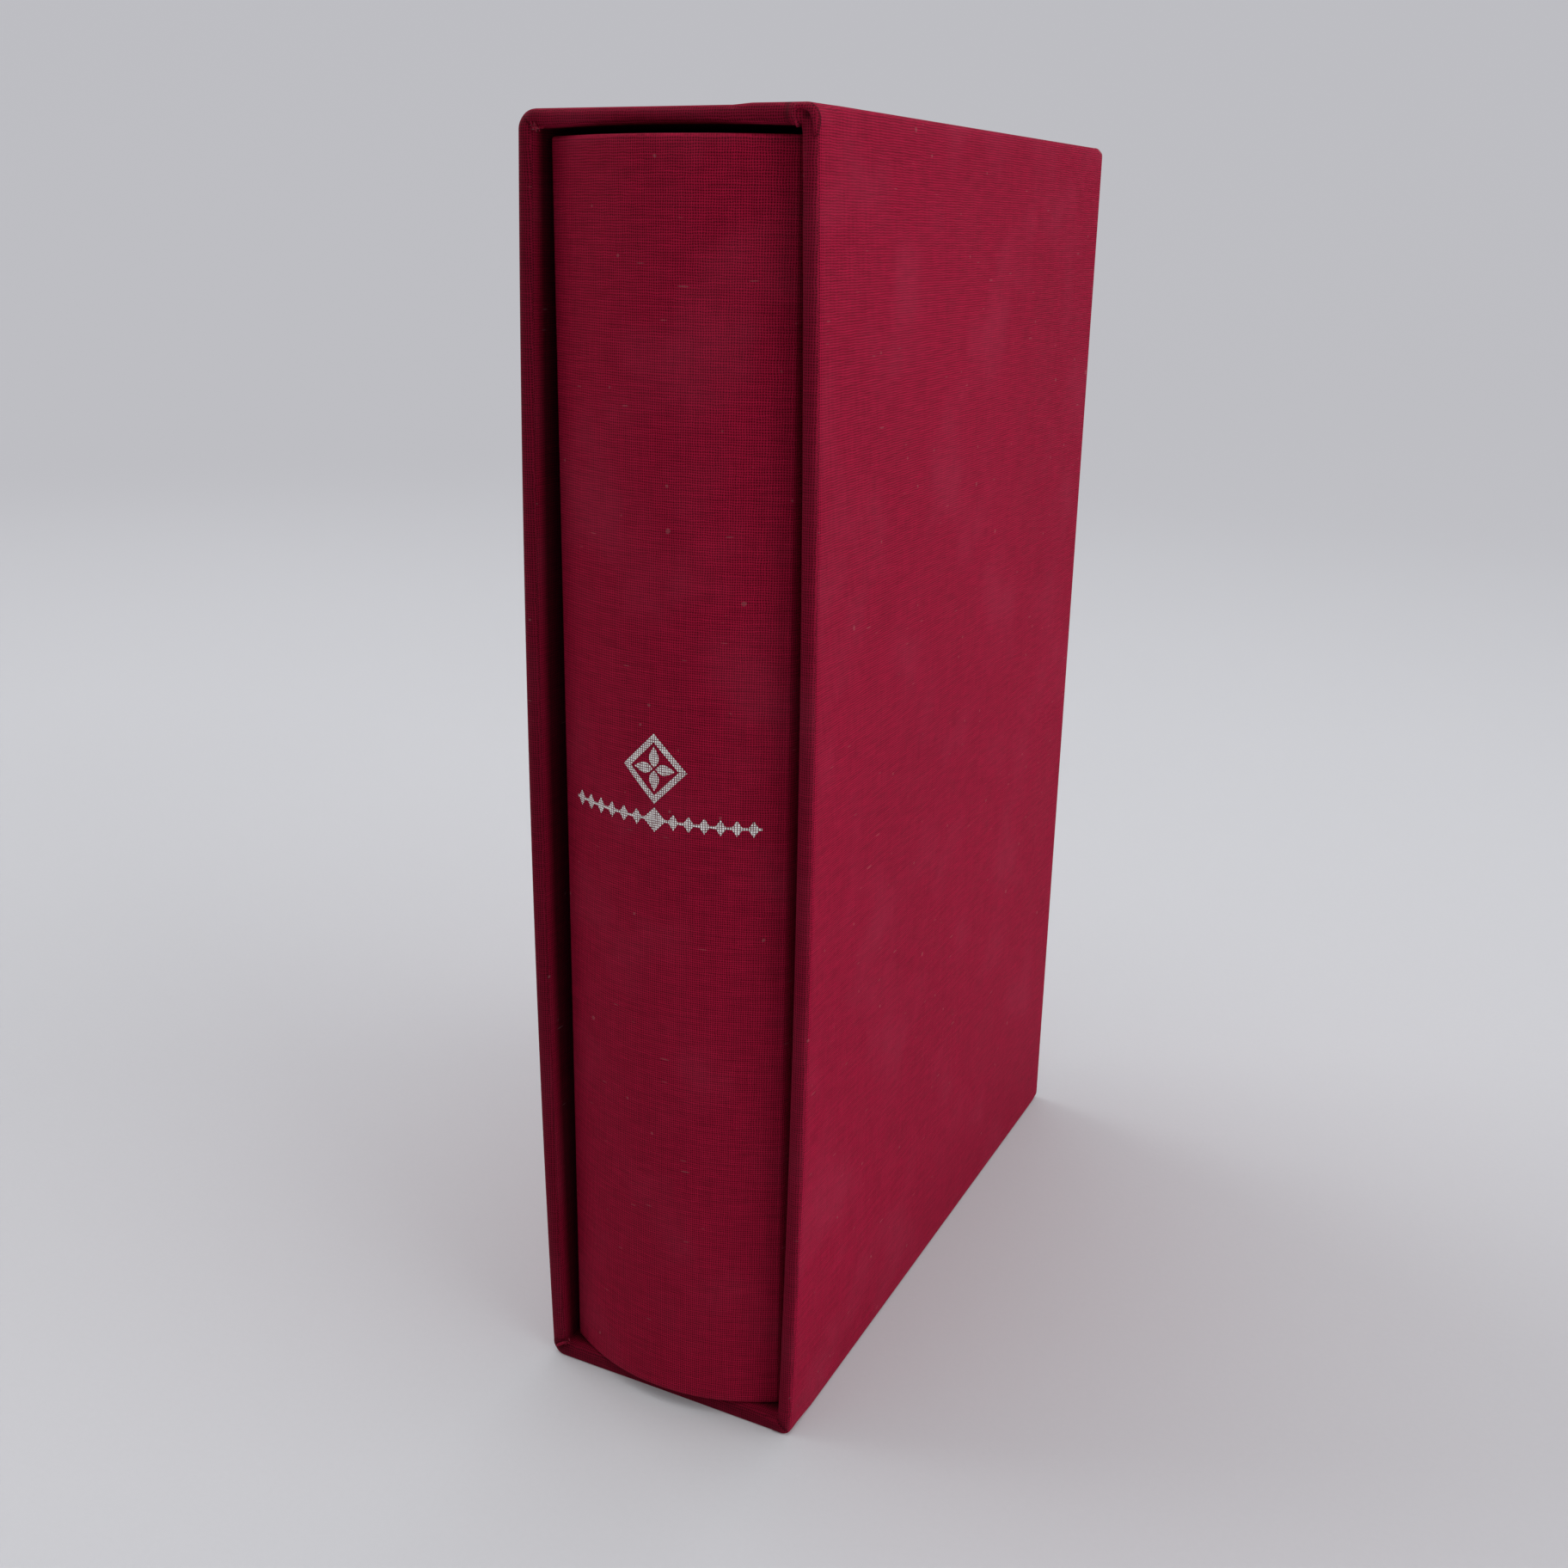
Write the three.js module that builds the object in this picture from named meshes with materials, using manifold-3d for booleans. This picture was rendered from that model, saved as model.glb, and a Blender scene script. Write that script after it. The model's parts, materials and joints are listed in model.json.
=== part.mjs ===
// A cased book with a round back, standing in a cloth-covered slipcase that is open at the front.
// Millimetres. +Z is up, the mouth of the case faces -Y, and the origin is at the middle of the base.
import * as THREE from 'three';
import { mergeVertices } from 'three/addons/utils/BufferGeometryUtils.js';
import { RoundedBoxGeometry } from 'three/addons/geometries/RoundedBoxGeometry.js';
import Module from 'manifold-3d';

const wasm = await Module();
wasm.setup();

// Pages
const pageWidth = 139.7;
const pageHeight = 228.6;
const pageBulk = 39.4;
const backRadius = 37.4;
const shoulderReach = 2.0;
const shoulderTaper = 3.5;
const foreEdgeHollow = 5.6;

// Sheets, boards and cloth
const clothThickness = 0.4;
const leafThickness = 0.18;
const mullThickness = 0.25;
const spineLiningThickness = 0.25;
const inlayThickness = 1.0;
const coverBoardThickness = 2.6;
const caseBoardThickness = 2.2;
const caseLiningThickness = 0.2;

// Cover
const square = 3.0;
const coverTurnIn = 15;
const spineHollow = 1.2;
const spineShoulderHalf = 22.4;
const shoulderTurnY = 4.2;
const grooveBottomRun = 5.2;
const grooveClimbRun = 3.8;
const boardStepBack = 0.3;
const mullShortfall = 18;
const mullWing = 22;
const leafFoldSetback = 0.7;

// Bands at the head and tail of the back
const bandRadius = 0.8;
const bandTapeThickness = 0.2;
const bandTapeDrop = 8;

// Slipcase
const spineProud = 2.85;
const caseTurnIn = 14;
const caseEdgeRadius = 0.8;
const mouthSpring = 2.0;

// Foil on the spine
const foilThickness = 0.08;
const ornamentSize = 13;
const ornamentBand = 2.2;
const ornamentHeight = 133.4;
const ruleLength = 40;
const ruleWidth = 1.1;
const ruleDiamond = 4.6;
const foilSpacing = 0.7;
const ruleHeight = ornamentHeight - ornamentSize / 2 - foilSpacing - ruleDiamond / 2;

// Clearances
const glueLine = 0.05;
const sideClearance = 0.3;
const seatClearance = 0.15;
const headClearance = 1.15;
const backClearance = 0.5;

// Fineness of the curved surfaces
const arcSteps = 20;
const shoulderSteps = 5;
const grooveSteps = 6;
const beadSteps = 8;
const caseFacet = 32;
const bendFacet = 5;

// Half widths across the closed book, from the pages outwards
const pageHalf = pageBulk / 2;
const flyInner = pageHalf + glueLine;
const flyOuter = flyInner + leafThickness;
const pasteInner = flyOuter + glueLine;
const pasteOuter = pasteInner + leafThickness;
const turnInner = pasteOuter + glueLine;
const turnOuter = turnInner + clothThickness;
const boardInner = turnOuter + glueLine;
const boardOuter = boardInner + coverBoardThickness;
const coverHalf = boardOuter + glueLine + clothThickness;
const grooveHalf = turnOuter + glueLine + clothThickness;

// Radii about the centre of the round back
const mullRadius = backRadius + glueLine;
const spineLiningRadius = mullRadius + mullThickness + glueLine;
const spineLiningOuter = spineLiningRadius + spineLiningThickness;
const spineStack = clothThickness + glueLine + inlayThickness + glueLine + clothThickness;
const spineRadius = spineLiningOuter + spineHollow + spineStack;

// Places from the mouth of the case (y = 0) towards its back
const backCentreY = spineRadius - spineProud;
const pageBackY = backCentreY - Math.sqrt(backRadius ** 2 - pageHalf ** 2);
const pageForeY = pageBackY + pageWidth;
const boardForeY = pageForeY + square;
const coverForeY = boardForeY + glueLine + clothThickness;
const shoulderHalf = pageHalf + shoulderReach;
const shoulderY = backCentreY - Math.sqrt(backRadius ** 2 - shoulderHalf ** 2);
const taperEndY = shoulderY + shoulderTaper;
const leafFoldY = taperEndY + leafFoldSetback;
const spineTurnY = backCentreY - Math.sqrt(spineRadius ** 2 - spineShoulderHalf ** 2);
const shoulderEndY = spineTurnY + shoulderTurnY;
const grooveBottomY = shoulderEndY + grooveBottomRun;
const grooveEndY = grooveBottomY + grooveClimbRun;
const boardBackY = grooveEndY + boardStepBack;

// Heights
const caseLip = 2 * clothThickness + 2 * glueLine + caseBoardThickness;
const coverBottom = caseLip + seatClearance;
const boardBottom = coverBottom + clothThickness + glueLine;
const pageBottom = boardBottom + square;
const pageTop = pageBottom + pageHeight;
const boardTop = pageTop + square;
const coverTop = boardTop + glueLine + clothThickness;

// Slipcase outside and inside
const caseHeight = coverTop + headClearance + caseLip;
const caseMouthHalf = coverHalf + sideClearance;
const caseHalf = caseMouthHalf + caseLip;
const caseSkin = clothThickness + glueLine;
const caseBoardInner = caseHalf - caseSkin - caseBoardThickness;
const caseLiningOuter = caseBoardInner - glueLine;
const caseLiningBackY = coverForeY + backClearance + caseLiningThickness;
const caseBackBoardY = caseLiningBackY + glueLine;
const caseDepth = caseBackBoardY + caseBoardThickness + caseSkin;

// How far a cutting shape runs past what it cuts, and one that cuts right through
const past = 1;
const reach = 400;

// Corners nearer than this are one corner
const weldGap = 1e-4;

/** A mesh with only its positions, its shared corners merged, ready for cutting or bending. */
function welded(geometry) {
  const bare = geometry.clone();
  bare.deleteAttribute('normal');
  bare.deleteAttribute('uv');
  return mergeVertices(bare, weldGap);
}

/** A closed mesh as a solid that can be joined and cut. */
function solid(geometry) {
  const merged = welded(geometry);
  return new wasm.Manifold(new wasm.Mesh({
    numProp: 3,
    vertProperties: new Float32Array(merged.attributes.position.array),
    triVerts: new Uint32Array(merged.index.array),
  }));
}

/** The mesh of a solid that was joined or cut. */
function meshOf(cut) {
  const mesh = cut.getMesh();
  const geometry = new THREE.BufferGeometry();
  geometry.setAttribute('position', new THREE.BufferAttribute(mesh.vertProperties, 3));
  geometry.setIndex(new THREE.BufferAttribute(mesh.triVerts, 1));
  return geometry;
}

/** Moves every corner of a mesh by a rule. */
function moved(geometry, rule) {
  const position = geometry.attributes.position;
  for (let i = 0; i < position.count; i += 1) {
    position.setXYZ(i, ...rule(position.getX(i), position.getY(i), position.getZ(i)));
  }
  return geometry;
}

/** A rectangular block between two corners. */
function block(x0, x1, y0, y1, z0, z1) {
  return moved(new THREE.BoxGeometry(1, 1, 1), (x, y, z) => [
    x < 0 ? x0 : x1,
    y < 0 ? y0 : y1,
    z < 0 ? z0 : z1,
  ]);
}

/** An upright prism over a plan outline. */
function prism(outline, z0, z1) {
  const geometry = new THREE.ExtrudeGeometry(new THREE.Shape(outline), {
    depth: 1,
    bevelEnabled: false,
  });
  return moved(geometry, (x, y, z) => [x, y, z < 0.5 ? z0 : z1]);
}

/** The plan outline between an outer path and an inner path that run the same way. */
function band(outer, inner) {
  return [...outer, ...[...inner].reverse()];
}

/** Splits every edge longer than the limit at its middle, until none is left. */
function refined(geometry, limit) {
  const source = welded(geometry);
  const points = [...source.attributes.position.array];
  let triangles = [...source.index.array];
  let split = true;
  while (split) {
    split = false;
    const middles = new Map();
    const middle = (a, b) => {
      const length = Math.hypot(...[0, 1, 2].map((k) => points[3 * a + k] - points[3 * b + k]));
      if (length <= limit) {
        return -1;
      }
      const key = a < b ? `${a}_${b}` : `${b}_${a}`;
      if (!middles.has(key)) {
        middles.set(key, points.length / 3);
        points.push(...[0, 1, 2].map((k) => (points[3 * a + k] + points[3 * b + k]) / 2));
      }
      return middles.get(key);
    };
    const next = [];
    for (let i = 0; i < triangles.length; i += 3) {
      const corners = triangles.slice(i, i + 3);
      const cuts = corners.map((corner, k) => middle(corner, corners[(k + 1) % 3]));
      const ring = corners.flatMap((corner, k) => (cuts[k] < 0 ? [corner] : [corner, cuts[k]]));
      split = split || ring.length > 3;
      next.push(...fan(ring, cuts));
    }
    triangles = next;
  }
  const result = new THREE.BufferGeometry();
  result.setAttribute('position', new THREE.Float32BufferAttribute(points, 3));
  result.setIndex(triangles);
  return result;
}

/** Triangles over one face whose edges may carry middle points. */
function fan(ring, cuts) {
  const made = cuts.filter((cut) => cut >= 0);
  if (made.length === 3) {
    return [
      ring[0], ring[1], ring[5], ring[1], ring[2], ring[3],
      ring[3], ring[4], ring[5], ring[1], ring[3], ring[5],
    ];
  }
  const start = made.length === 0 ? 0 : ring.indexOf(made[0]);
  const turned = [...ring.slice(start), ...ring.slice(0, start)];
  const faces = [];
  for (let i = 1; i + 1 < turned.length; i += 1) {
    faces.push(turned[0], turned[i], turned[i + 1]);
  }
  return faces;
}

/** Springs the side walls of the case outwards, most at mid height of the mouth, not at the back. */
function sprung(geometry) {
  return moved(refined(geometry, caseFacet), (x, y, z) => {
    const up = Math.min(Math.max(z / caseHeight, 0), 1);
    const inward = Math.min(Math.max(y / caseDepth, 0), 1);
    const spring = mouthSpring * 4 * up * (1 - up) * (1 - inward) ** 2;
    return [x * (1 + spring / caseHalf), y, z];
  });
}

/** Lays a flat piece, drawn along X and facing -Y, round the back of the book. */
function wrapped(geometry, radius) {
  return moved(geometry, (x, y, z) => [
    (radius - y) * Math.sin(x / radius),
    backCentreY - (radius - y) * Math.cos(x / radius),
    z,
  ]);
}

/** Points of an arc about the centre of the back, between two half widths. */
function backArc(radius, fromHalf, toHalf) {
  const from = Math.asin(fromHalf / radius);
  const to = Math.asin(toHalf / radius);
  return Array.from({ length: arcSteps + 1 }, (_, i) => {
    const angle = from + ((to - from) * i) / arcSteps;
    return new THREE.Vector2(radius * Math.sin(angle), backCentreY - radius * Math.cos(angle));
  });
}

/** A path drawn for the right half, with its mirror image before it. */
function mirroredPath(right) {
  const left = [...right].reverse().map((p) => new THREE.Vector2(-p.x, p.y));
  return [...left, ...right.slice(1)];
}

/** The right half of the cover's outside, round the shoulder, down the groove, on to the board. */
function coverRight(arcRadius, shoulderInset, grooveHalfWidth, boardHalf, foreY) {
  const arcEnd = Math.asin(spineShoulderHalf / spineRadius);
  const steps = arcSteps / 2;
  const arc = Array.from({ length: steps + 1 }, (_, i) => {
    const angle = (arcEnd * i) / steps;
    return new THREE.Vector2(
      arcRadius * Math.sin(angle),
      backCentreY - arcRadius * Math.cos(angle),
    );
  });
  const end = arc[arc.length - 1];
  const tip = new THREE.Vector2(coverHalf - shoulderInset, shoulderEndY);
  const lean = shoulderTurnY * Math.sin(arcEnd);
  const turn = new THREE.CubicBezierCurve(
    end,
    new THREE.Vector2(
      end.x + (lean * Math.cos(arcEnd)) / 2,
      end.y + (lean * Math.sin(arcEnd)) / 2,
    ),
    new THREE.Vector2(tip.x, tip.y - shoulderTurnY / 2),
    tip,
  );
  const bottom = new THREE.Vector2(grooveHalfWidth, grooveBottomY);
  const dip = new THREE.CubicBezierCurve(
    tip,
    new THREE.Vector2(tip.x, tip.y + grooveBottomRun / 2),
    new THREE.Vector2(bottom.x, bottom.y - grooveBottomRun / 2),
    bottom,
  );
  const top = new THREE.Vector2(boardHalf, grooveEndY);
  const climb = new THREE.CubicBezierCurve(
    bottom,
    new THREE.Vector2(bottom.x, bottom.y + grooveClimbRun / 2),
    new THREE.Vector2(top.x, top.y - grooveClimbRun / 2),
    top,
  );
  return [
    ...arc,
    ...turn.getPoints(shoulderSteps).slice(1),
    ...dip.getPoints(grooveSteps).slice(1),
    ...climb.getPoints(grooveSteps).slice(1),
    new THREE.Vector2(boardHalf, foreY),
  ];
}

/** The inner face of the cover's turn-in in plan, or a path at a depth outwards from it. */
function turnInPath(depth, foreY) {
  return mirroredPath(coverRight(
    spineRadius - spineStack + depth,
    2 * clothThickness + glueLine - depth,
    turnInner + depth,
    turnInner + depth,
    foreY,
  ));
}

/** The outer face of the cover in plan, or a path at an inset from it. */
function outsidePath(inset, foreY) {
  return mirroredPath(coverRight(
    spineRadius - inset,
    inset,
    grooveHalf - inset,
    coverHalf - inset,
    foreY,
  ));
}

/** The cloth of the cover: one sheet over both boards and the spine, turned in on every edge. */
function coverCloth() {
  const t = clothThickness;
  const windowForeY = coverForeY - coverTurnIn;
  const filled = prism(
    band(outsidePath(0, coverForeY), turnInPath(0, coverForeY)),
    coverBottom,
    coverTop,
  );
  const boardSpace = prism(
    band(outsidePath(t, coverForeY - t), turnInPath(t, coverForeY - t)),
    coverBottom + t,
    coverTop - t,
  );
  const window = prism(
    band(turnInPath(t + glueLine / 2, windowForeY), turnInPath(-past, windowForeY)),
    coverBottom + coverTurnIn,
    coverTop - coverTurnIn,
  );
  return meshOf(solid(filled).subtract(solid(boardSpace)).subtract(solid(window)));
}

/** The pages as one block: round back with backed shoulders, straight sides and a hollow fore edge. */
function textBlock() {
  const foreRadius = (pageHalf ** 2 + foreEdgeHollow ** 2) / (2 * foreEdgeHollow);
  const foreAngle = Math.asin(pageHalf / foreRadius);
  const fore = Array.from({ length: arcSteps + 1 }, (_, i) => {
    const angle = foreAngle - (2 * foreAngle * i) / arcSteps;
    return new THREE.Vector2(
      foreRadius * Math.sin(angle),
      pageForeY - foreEdgeHollow + foreRadius - foreRadius * Math.cos(angle),
    );
  });
  const outline = [
    ...backArc(backRadius, -shoulderHalf, shoulderHalf),
    new THREE.Vector2(pageHalf, taperEndY),
    ...fore,
    new THREE.Vector2(-pageHalf, taperEndY),
  ];
  return prism(outline, pageBottom, pageTop);
}

/** The open-weave lining glued over the back, with a wing on each board. */
function mull() {
  const slope = shoulderReach / shoulderTaper;
  const face = (offset) => {
    const wingHalf = boardInner - glueLine - mullThickness + offset;
    const beside = shoulderHalf + glueLine + offset;
    const meetY = shoulderY + (beside - wingHalf) / slope;
    return mirroredPath([
      ...backArc(mullRadius + offset, 0, shoulderHalf).slice(0, -1),
      new THREE.Vector2(beside, shoulderY),
      new THREE.Vector2(wingHalf, meetY),
      new THREE.Vector2(wingHalf, boardBackY + mullWing),
    ]);
  };
  const outline = band(face(mullThickness), face(0));
  return prism(outline, pageBottom + mullShortfall, pageTop - mullShortfall);
}

/** A curved strip on the back, as far round as a given half width. */
function backStrip(innerRadius, thickness, half, z0, z1) {
  const outline = band(
    backArc(innerRadius + thickness, -half, half),
    backArc(innerRadius, -half, half),
  );
  return prism(outline, z0, z1);
}

/** A band across the end of the back: a corded bead on the pages' edge and a tape glued down the back. */
function endBand(up) {
  const edgeZ = up > 0 ? pageTop : pageBottom;
  const beadZ = glueLine + bandRadius;
  const bead = Array.from({ length: beadSteps + 1 }, (_, i) => {
    const angle = Math.PI * (1.5 - (i - 1) / beadSteps);
    return new THREE.Vector2(
      bandRadius * (Math.cos(angle) - 1),
      beadZ + bandRadius * Math.sin(angle),
    );
  });
  const outline = [
    ...bead,
    new THREE.Vector2(glueLine + bandTapeThickness, beadZ + bandRadius / 2),
    new THREE.Vector2(glueLine + bandTapeThickness, -bandTapeDrop),
    new THREE.Vector2(glueLine, -bandTapeDrop),
    new THREE.Vector2(glueLine, glueLine),
  ];
  const length = 2 * backRadius * Math.asin(pageHalf / backRadius);
  const flat = new THREE.ExtrudeGeometry(new THREE.Shape(outline), {
    depth: length,
    steps: arcSteps,
    bevelEnabled: false,
  });
  flat.translate(0, 0, -length / 2);
  moved(flat, (x, y, z) => [-up * z, -x, edgeZ + up * y]);
  return wrapped(flat, backRadius);
}

/** A folded endpaper: one leaf loose against the pages, the other pasted down over the turn-ins. */
function endpaper(side) {
  const across = (a, b) => [side * a, side * b].sort((p, q) => p - q);
  const sunk = clothThickness;
  const wall = leafThickness;
  const inTurn = coverTurnIn + glueLine;
  const window = [
    boardBackY + mullWing + glueLine,
    coverForeY - inTurn,
    coverBottom + inTurn,
    coverTop - inTurn,
  ];
  const loose = block(...across(flyInner, flyOuter), leafFoldY, pageForeY, pageBottom, pageTop);
  const fold = block(...across(flyInner, pasteOuter), leafFoldY, leafFoldY + wall, pageBottom, pageTop);
  const rim = block(...across(pasteInner, pasteOuter), leafFoldY, pageForeY, pageBottom, pageTop);
  const tray = block(...across(pasteInner, pasteOuter + sunk), ...window);
  const pocket = block(
    ...across(pasteInner - wall / 2, pasteOuter + sunk - wall),
    window[0] + wall,
    window[1] - wall,
    window[2] + wall,
    window[3] - wall,
  );
  const pasted = solid(rim).add(solid(tray)).subtract(solid(pocket));
  return meshOf(pasted.add(solid(fold)).add(solid(loose)));
}

/** A board of the cover. */
function coverBoard(side) {
  const across = [side * boardInner, side * boardOuter].sort((a, b) => a - b);
  return block(...across, boardBackY, boardForeY, boardBottom, boardTop);
}

/** The covering of the case before it is cut at its mitres: a skin that turns in round the mouth. */
function caseCovering() {
  const outside = new RoundedBoxGeometry(2 * caseHalf, caseDepth, caseHeight, 2, caseEdgeRadius);
  outside.translate(0, caseDepth / 2, caseHeight / 2);
  const t = clothThickness;
  const boards = block(
    -caseHalf + t, caseHalf - t, t, caseDepth - t, t, caseHeight - t,
  );
  const mouth = block(
    -caseMouthHalf, caseMouthHalf, -reach, caseDepth / 2, caseLip, caseHeight - caseLip,
  );
  const turnIn = block(
    -caseMouthHalf - t, caseMouthHalf + t, t / 2, caseTurnIn, caseLip - t, caseHeight - caseLip + t,
  );
  return solid(outside).subtract(solid(boards)).add(solid(turnIn)).subtract(solid(mouth));
}

/** The wedge between the two mitres of the top or bottom strip, seen from the mouth. */
function mitreWedge(top, gap) {
  const depth = caseLip + glueLine;
  const wide = caseHalf - gap;
  const outline = [
    new THREE.Vector2(-wide - past, -past),
    new THREE.Vector2(wide + past, -past),
    new THREE.Vector2(wide - depth, depth),
    new THREE.Vector2(-wide + depth, depth),
  ];
  const wedge = new THREE.ExtrudeGeometry(new THREE.Shape(outline), {
    depth: 2 * reach,
    bevelEnabled: false,
  });
  wedge.rotateX(Math.PI / 2).translate(0, reach, 0);
  return top ? moved(wedge.rotateY(Math.PI), (x, y, z) => [x, y, z + caseHeight]) : wedge;
}

/** The lining paper of the case, folded round its five inner faces behind the turn-in. */
function caseLining() {
  const low = caseSkin + caseBoardThickness + glueLine;
  const t = caseLiningThickness;
  const outside = block(
    -caseLiningOuter, caseLiningOuter, caseTurnIn + glueLine, caseLiningBackY, low, caseHeight - low,
  );
  const hollow = block(
    -caseLiningOuter + t, caseLiningOuter - t, -reach, caseLiningBackY - t, low + t, caseHeight - low - t,
  );
  return meshOf(solid(outside).subtract(solid(hollow)));
}

/** The five boards of the case. */
function caseBoards() {
  const outer = caseHalf - caseSkin;
  const between = caseBoardInner - glueLine;
  const low = caseSkin;
  const high = caseHeight - caseSkin;
  const t = caseBoardThickness;
  const backFace = caseDepth - caseSkin;
  return {
    case_left_board: block(-outer, -caseBoardInner, caseSkin, backFace, low, high),
    case_right_board: block(caseBoardInner, outer, caseSkin, backFace, low, high),
    case_back_board: block(-between, between, caseBackBoardY, backFace, low, high),
    case_bottom_board: block(
      -between, between, caseSkin, caseBackBoardY - glueLine, low, low + t,
    ),
    case_top_board: block(
      -between, between, caseSkin, caseBackBoardY - glueLine, high - t, high,
    ),
  };
}

/** A foil lozenge with an open middle, laid on the spine. */
function lozengeFoil() {
  const corner = (size) => [[size, 0], [0, size], [-size, 0], [0, -size]]
    .map(([x, y]) => new THREE.Vector2(x, y));
  const shape = new THREE.Shape(corner(ornamentSize / 2));
  shape.holes.push(new THREE.Path(corner(ornamentSize / 2 - ornamentBand).reverse()));
  return standing(shape, ornamentHeight);
}

/** A foil rule with a diamond at its middle, laid on the spine. */
function ruleFoil() {
  const half = ruleDiamond / 2;
  const edge = half - ruleWidth / 2;
  const right = [
    new THREE.Vector2(0, -half),
    new THREE.Vector2(edge, -ruleWidth / 2),
    new THREE.Vector2(ruleLength / 2, -ruleWidth / 2),
    new THREE.Vector2(ruleLength / 2, ruleWidth / 2),
    new THREE.Vector2(edge, ruleWidth / 2),
    new THREE.Vector2(0, half),
  ];
  const left = right.slice(1, -1).reverse().map((p) => new THREE.Vector2(-p.x, p.y));
  return standing(new THREE.Shape([...right, ...left]), ruleHeight);
}

/** A flat foil stood upright at a height, its face towards -Y. */
function standing(shape, height) {
  const foil = new THREE.ExtrudeGeometry(shape, { depth: foilThickness, bevelEnabled: false });
  moved(foil, (x, y, z) => [x, -z - glueLine, y + height]);
  return wrapped(refined(foil, bendFacet), spineRadius);
}

const clothRed = new THREE.MeshStandardMaterial({ color: 0x6c1224, roughness: 0.85, metalness: 0 });
const caseRed = new THREE.MeshStandardMaterial({ color: 0x872039, roughness: 0.85, metalness: 0 });
const greyBoard = new THREE.MeshStandardMaterial({ color: 0x8d8577, roughness: 0.9, metalness: 0 });
const blackPaper = new THREE.MeshStandardMaterial({ color: 0x1b1214, roughness: 0.9, metalness: 0 });
const pagePaper = new THREE.MeshStandardMaterial({ color: 0xe9e1cd, roughness: 0.9, metalness: 0 });
const endPaper = new THREE.MeshStandardMaterial({ color: 0xd9cfbb, roughness: 0.85, metalness: 0 });
const mullCotton = new THREE.MeshStandardMaterial({ color: 0xe3dccb, roughness: 0.95, metalness: 0 });
const kraftPaper = new THREE.MeshStandardMaterial({ color: 0xa07c52, roughness: 0.9, metalness: 0 });
const bandSilk = new THREE.MeshStandardMaterial({ color: 0x7a1c2c, roughness: 0.7, metalness: 0 });
const silverFoil = new THREE.MeshStandardMaterial({ color: 0xb9b7b8, roughness: 0.35, metalness: 0.9 });

const product = new THREE.Group();
const slipcase = new THREE.Group();
const book = new THREE.Group();
product.add(slipcase, book);
product.position.y = (spineProud + foilThickness + glueLine - caseDepth) / 2;

/** Names a piece and puts it in its group. */
function place(group, name, geometry, material) {
  const faces = geometry.index ? geometry : welded(geometry);
  faces.computeVertexNormals();
  const mesh = new THREE.Mesh(faces, material);
  mesh.name = name;
  group.add(mesh);
}

for (const [name, board] of Object.entries(caseBoards())) {
  place(slipcase, name, sprung(board), greyBoard);
}
const covering = caseCovering();
const topCut = solid(mitreWedge(true, 0));
const bottomCut = solid(mitreWedge(false, 0));
place(slipcase, 'case_wrap_cloth', sprung(meshOf(covering.subtract(topCut).subtract(bottomCut))), caseRed);
for (const [name, top] of [['case_top_cloth', true], ['case_bottom_cloth', false]]) {
  const strip = covering.intersect(solid(mitreWedge(top, glueLine)));
  place(slipcase, name, sprung(meshOf(strip)), caseRed);
}
place(slipcase, 'case_lining', sprung(caseLining()), blackPaper);

const inlayHalf = spineShoulderHalf - clothThickness - glueLine;
const inlayRadius = spineRadius - clothThickness - glueLine - inlayThickness;
place(book, 'text_block', textBlock(), pagePaper);
place(book, 'mull', mull(), mullCotton);
place(book, 'spine_lining', backStrip(
  spineLiningRadius, spineLiningThickness, pageHalf, pageBottom, pageTop,
), kraftPaper);
place(book, 'head_band', endBand(1), bandSilk);
place(book, 'tail_band', endBand(-1), bandSilk);
place(book, 'front_endpaper', endpaper(1), endPaper);
place(book, 'back_endpaper', endpaper(-1), endPaper);
place(book, 'front_board', coverBoard(1), greyBoard);
place(book, 'back_board', coverBoard(-1), greyBoard);
place(book, 'spine_inlay', backStrip(
  inlayRadius, inlayThickness, inlayHalf, boardBottom, boardTop,
), greyBoard);
place(book, 'cover_cloth', coverCloth(), clothRed);
place(book, 'foil_lozenge', lozengeFoil(), silverFoil);
place(book, 'foil_rule', ruleFoil(), silverFoil);

export default product;
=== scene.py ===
"""A cloth-bound book with a round back, standing in its cloth-covered slipcase.

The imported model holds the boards, the linings and the joint. This script makes the surfaces that
show: the covering of the case, the cover of the book, its pages and end bands, and every finish.
"""

import json
import logging
import math
from dataclasses import dataclass, field
from enum import Enum
from itertools import product

import bmesh
import bpy
from mathutils import Matrix, Vector

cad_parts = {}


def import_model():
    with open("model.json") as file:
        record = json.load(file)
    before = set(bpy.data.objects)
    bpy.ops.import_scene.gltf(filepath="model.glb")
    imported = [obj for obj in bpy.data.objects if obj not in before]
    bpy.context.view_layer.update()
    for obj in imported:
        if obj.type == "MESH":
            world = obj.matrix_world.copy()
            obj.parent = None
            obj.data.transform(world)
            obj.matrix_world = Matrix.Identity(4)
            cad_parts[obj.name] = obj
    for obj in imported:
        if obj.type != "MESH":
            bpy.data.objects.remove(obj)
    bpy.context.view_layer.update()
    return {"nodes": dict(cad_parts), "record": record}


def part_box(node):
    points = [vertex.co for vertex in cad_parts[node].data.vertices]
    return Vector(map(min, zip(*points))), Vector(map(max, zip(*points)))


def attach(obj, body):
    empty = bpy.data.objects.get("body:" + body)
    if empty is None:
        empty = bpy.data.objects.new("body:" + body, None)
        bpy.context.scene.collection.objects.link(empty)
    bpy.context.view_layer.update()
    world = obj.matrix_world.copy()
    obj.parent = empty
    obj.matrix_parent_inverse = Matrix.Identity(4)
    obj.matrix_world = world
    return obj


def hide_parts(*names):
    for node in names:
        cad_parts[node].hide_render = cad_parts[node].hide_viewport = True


LOG = logging.getLogger("book_in_slipcase")

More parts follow.
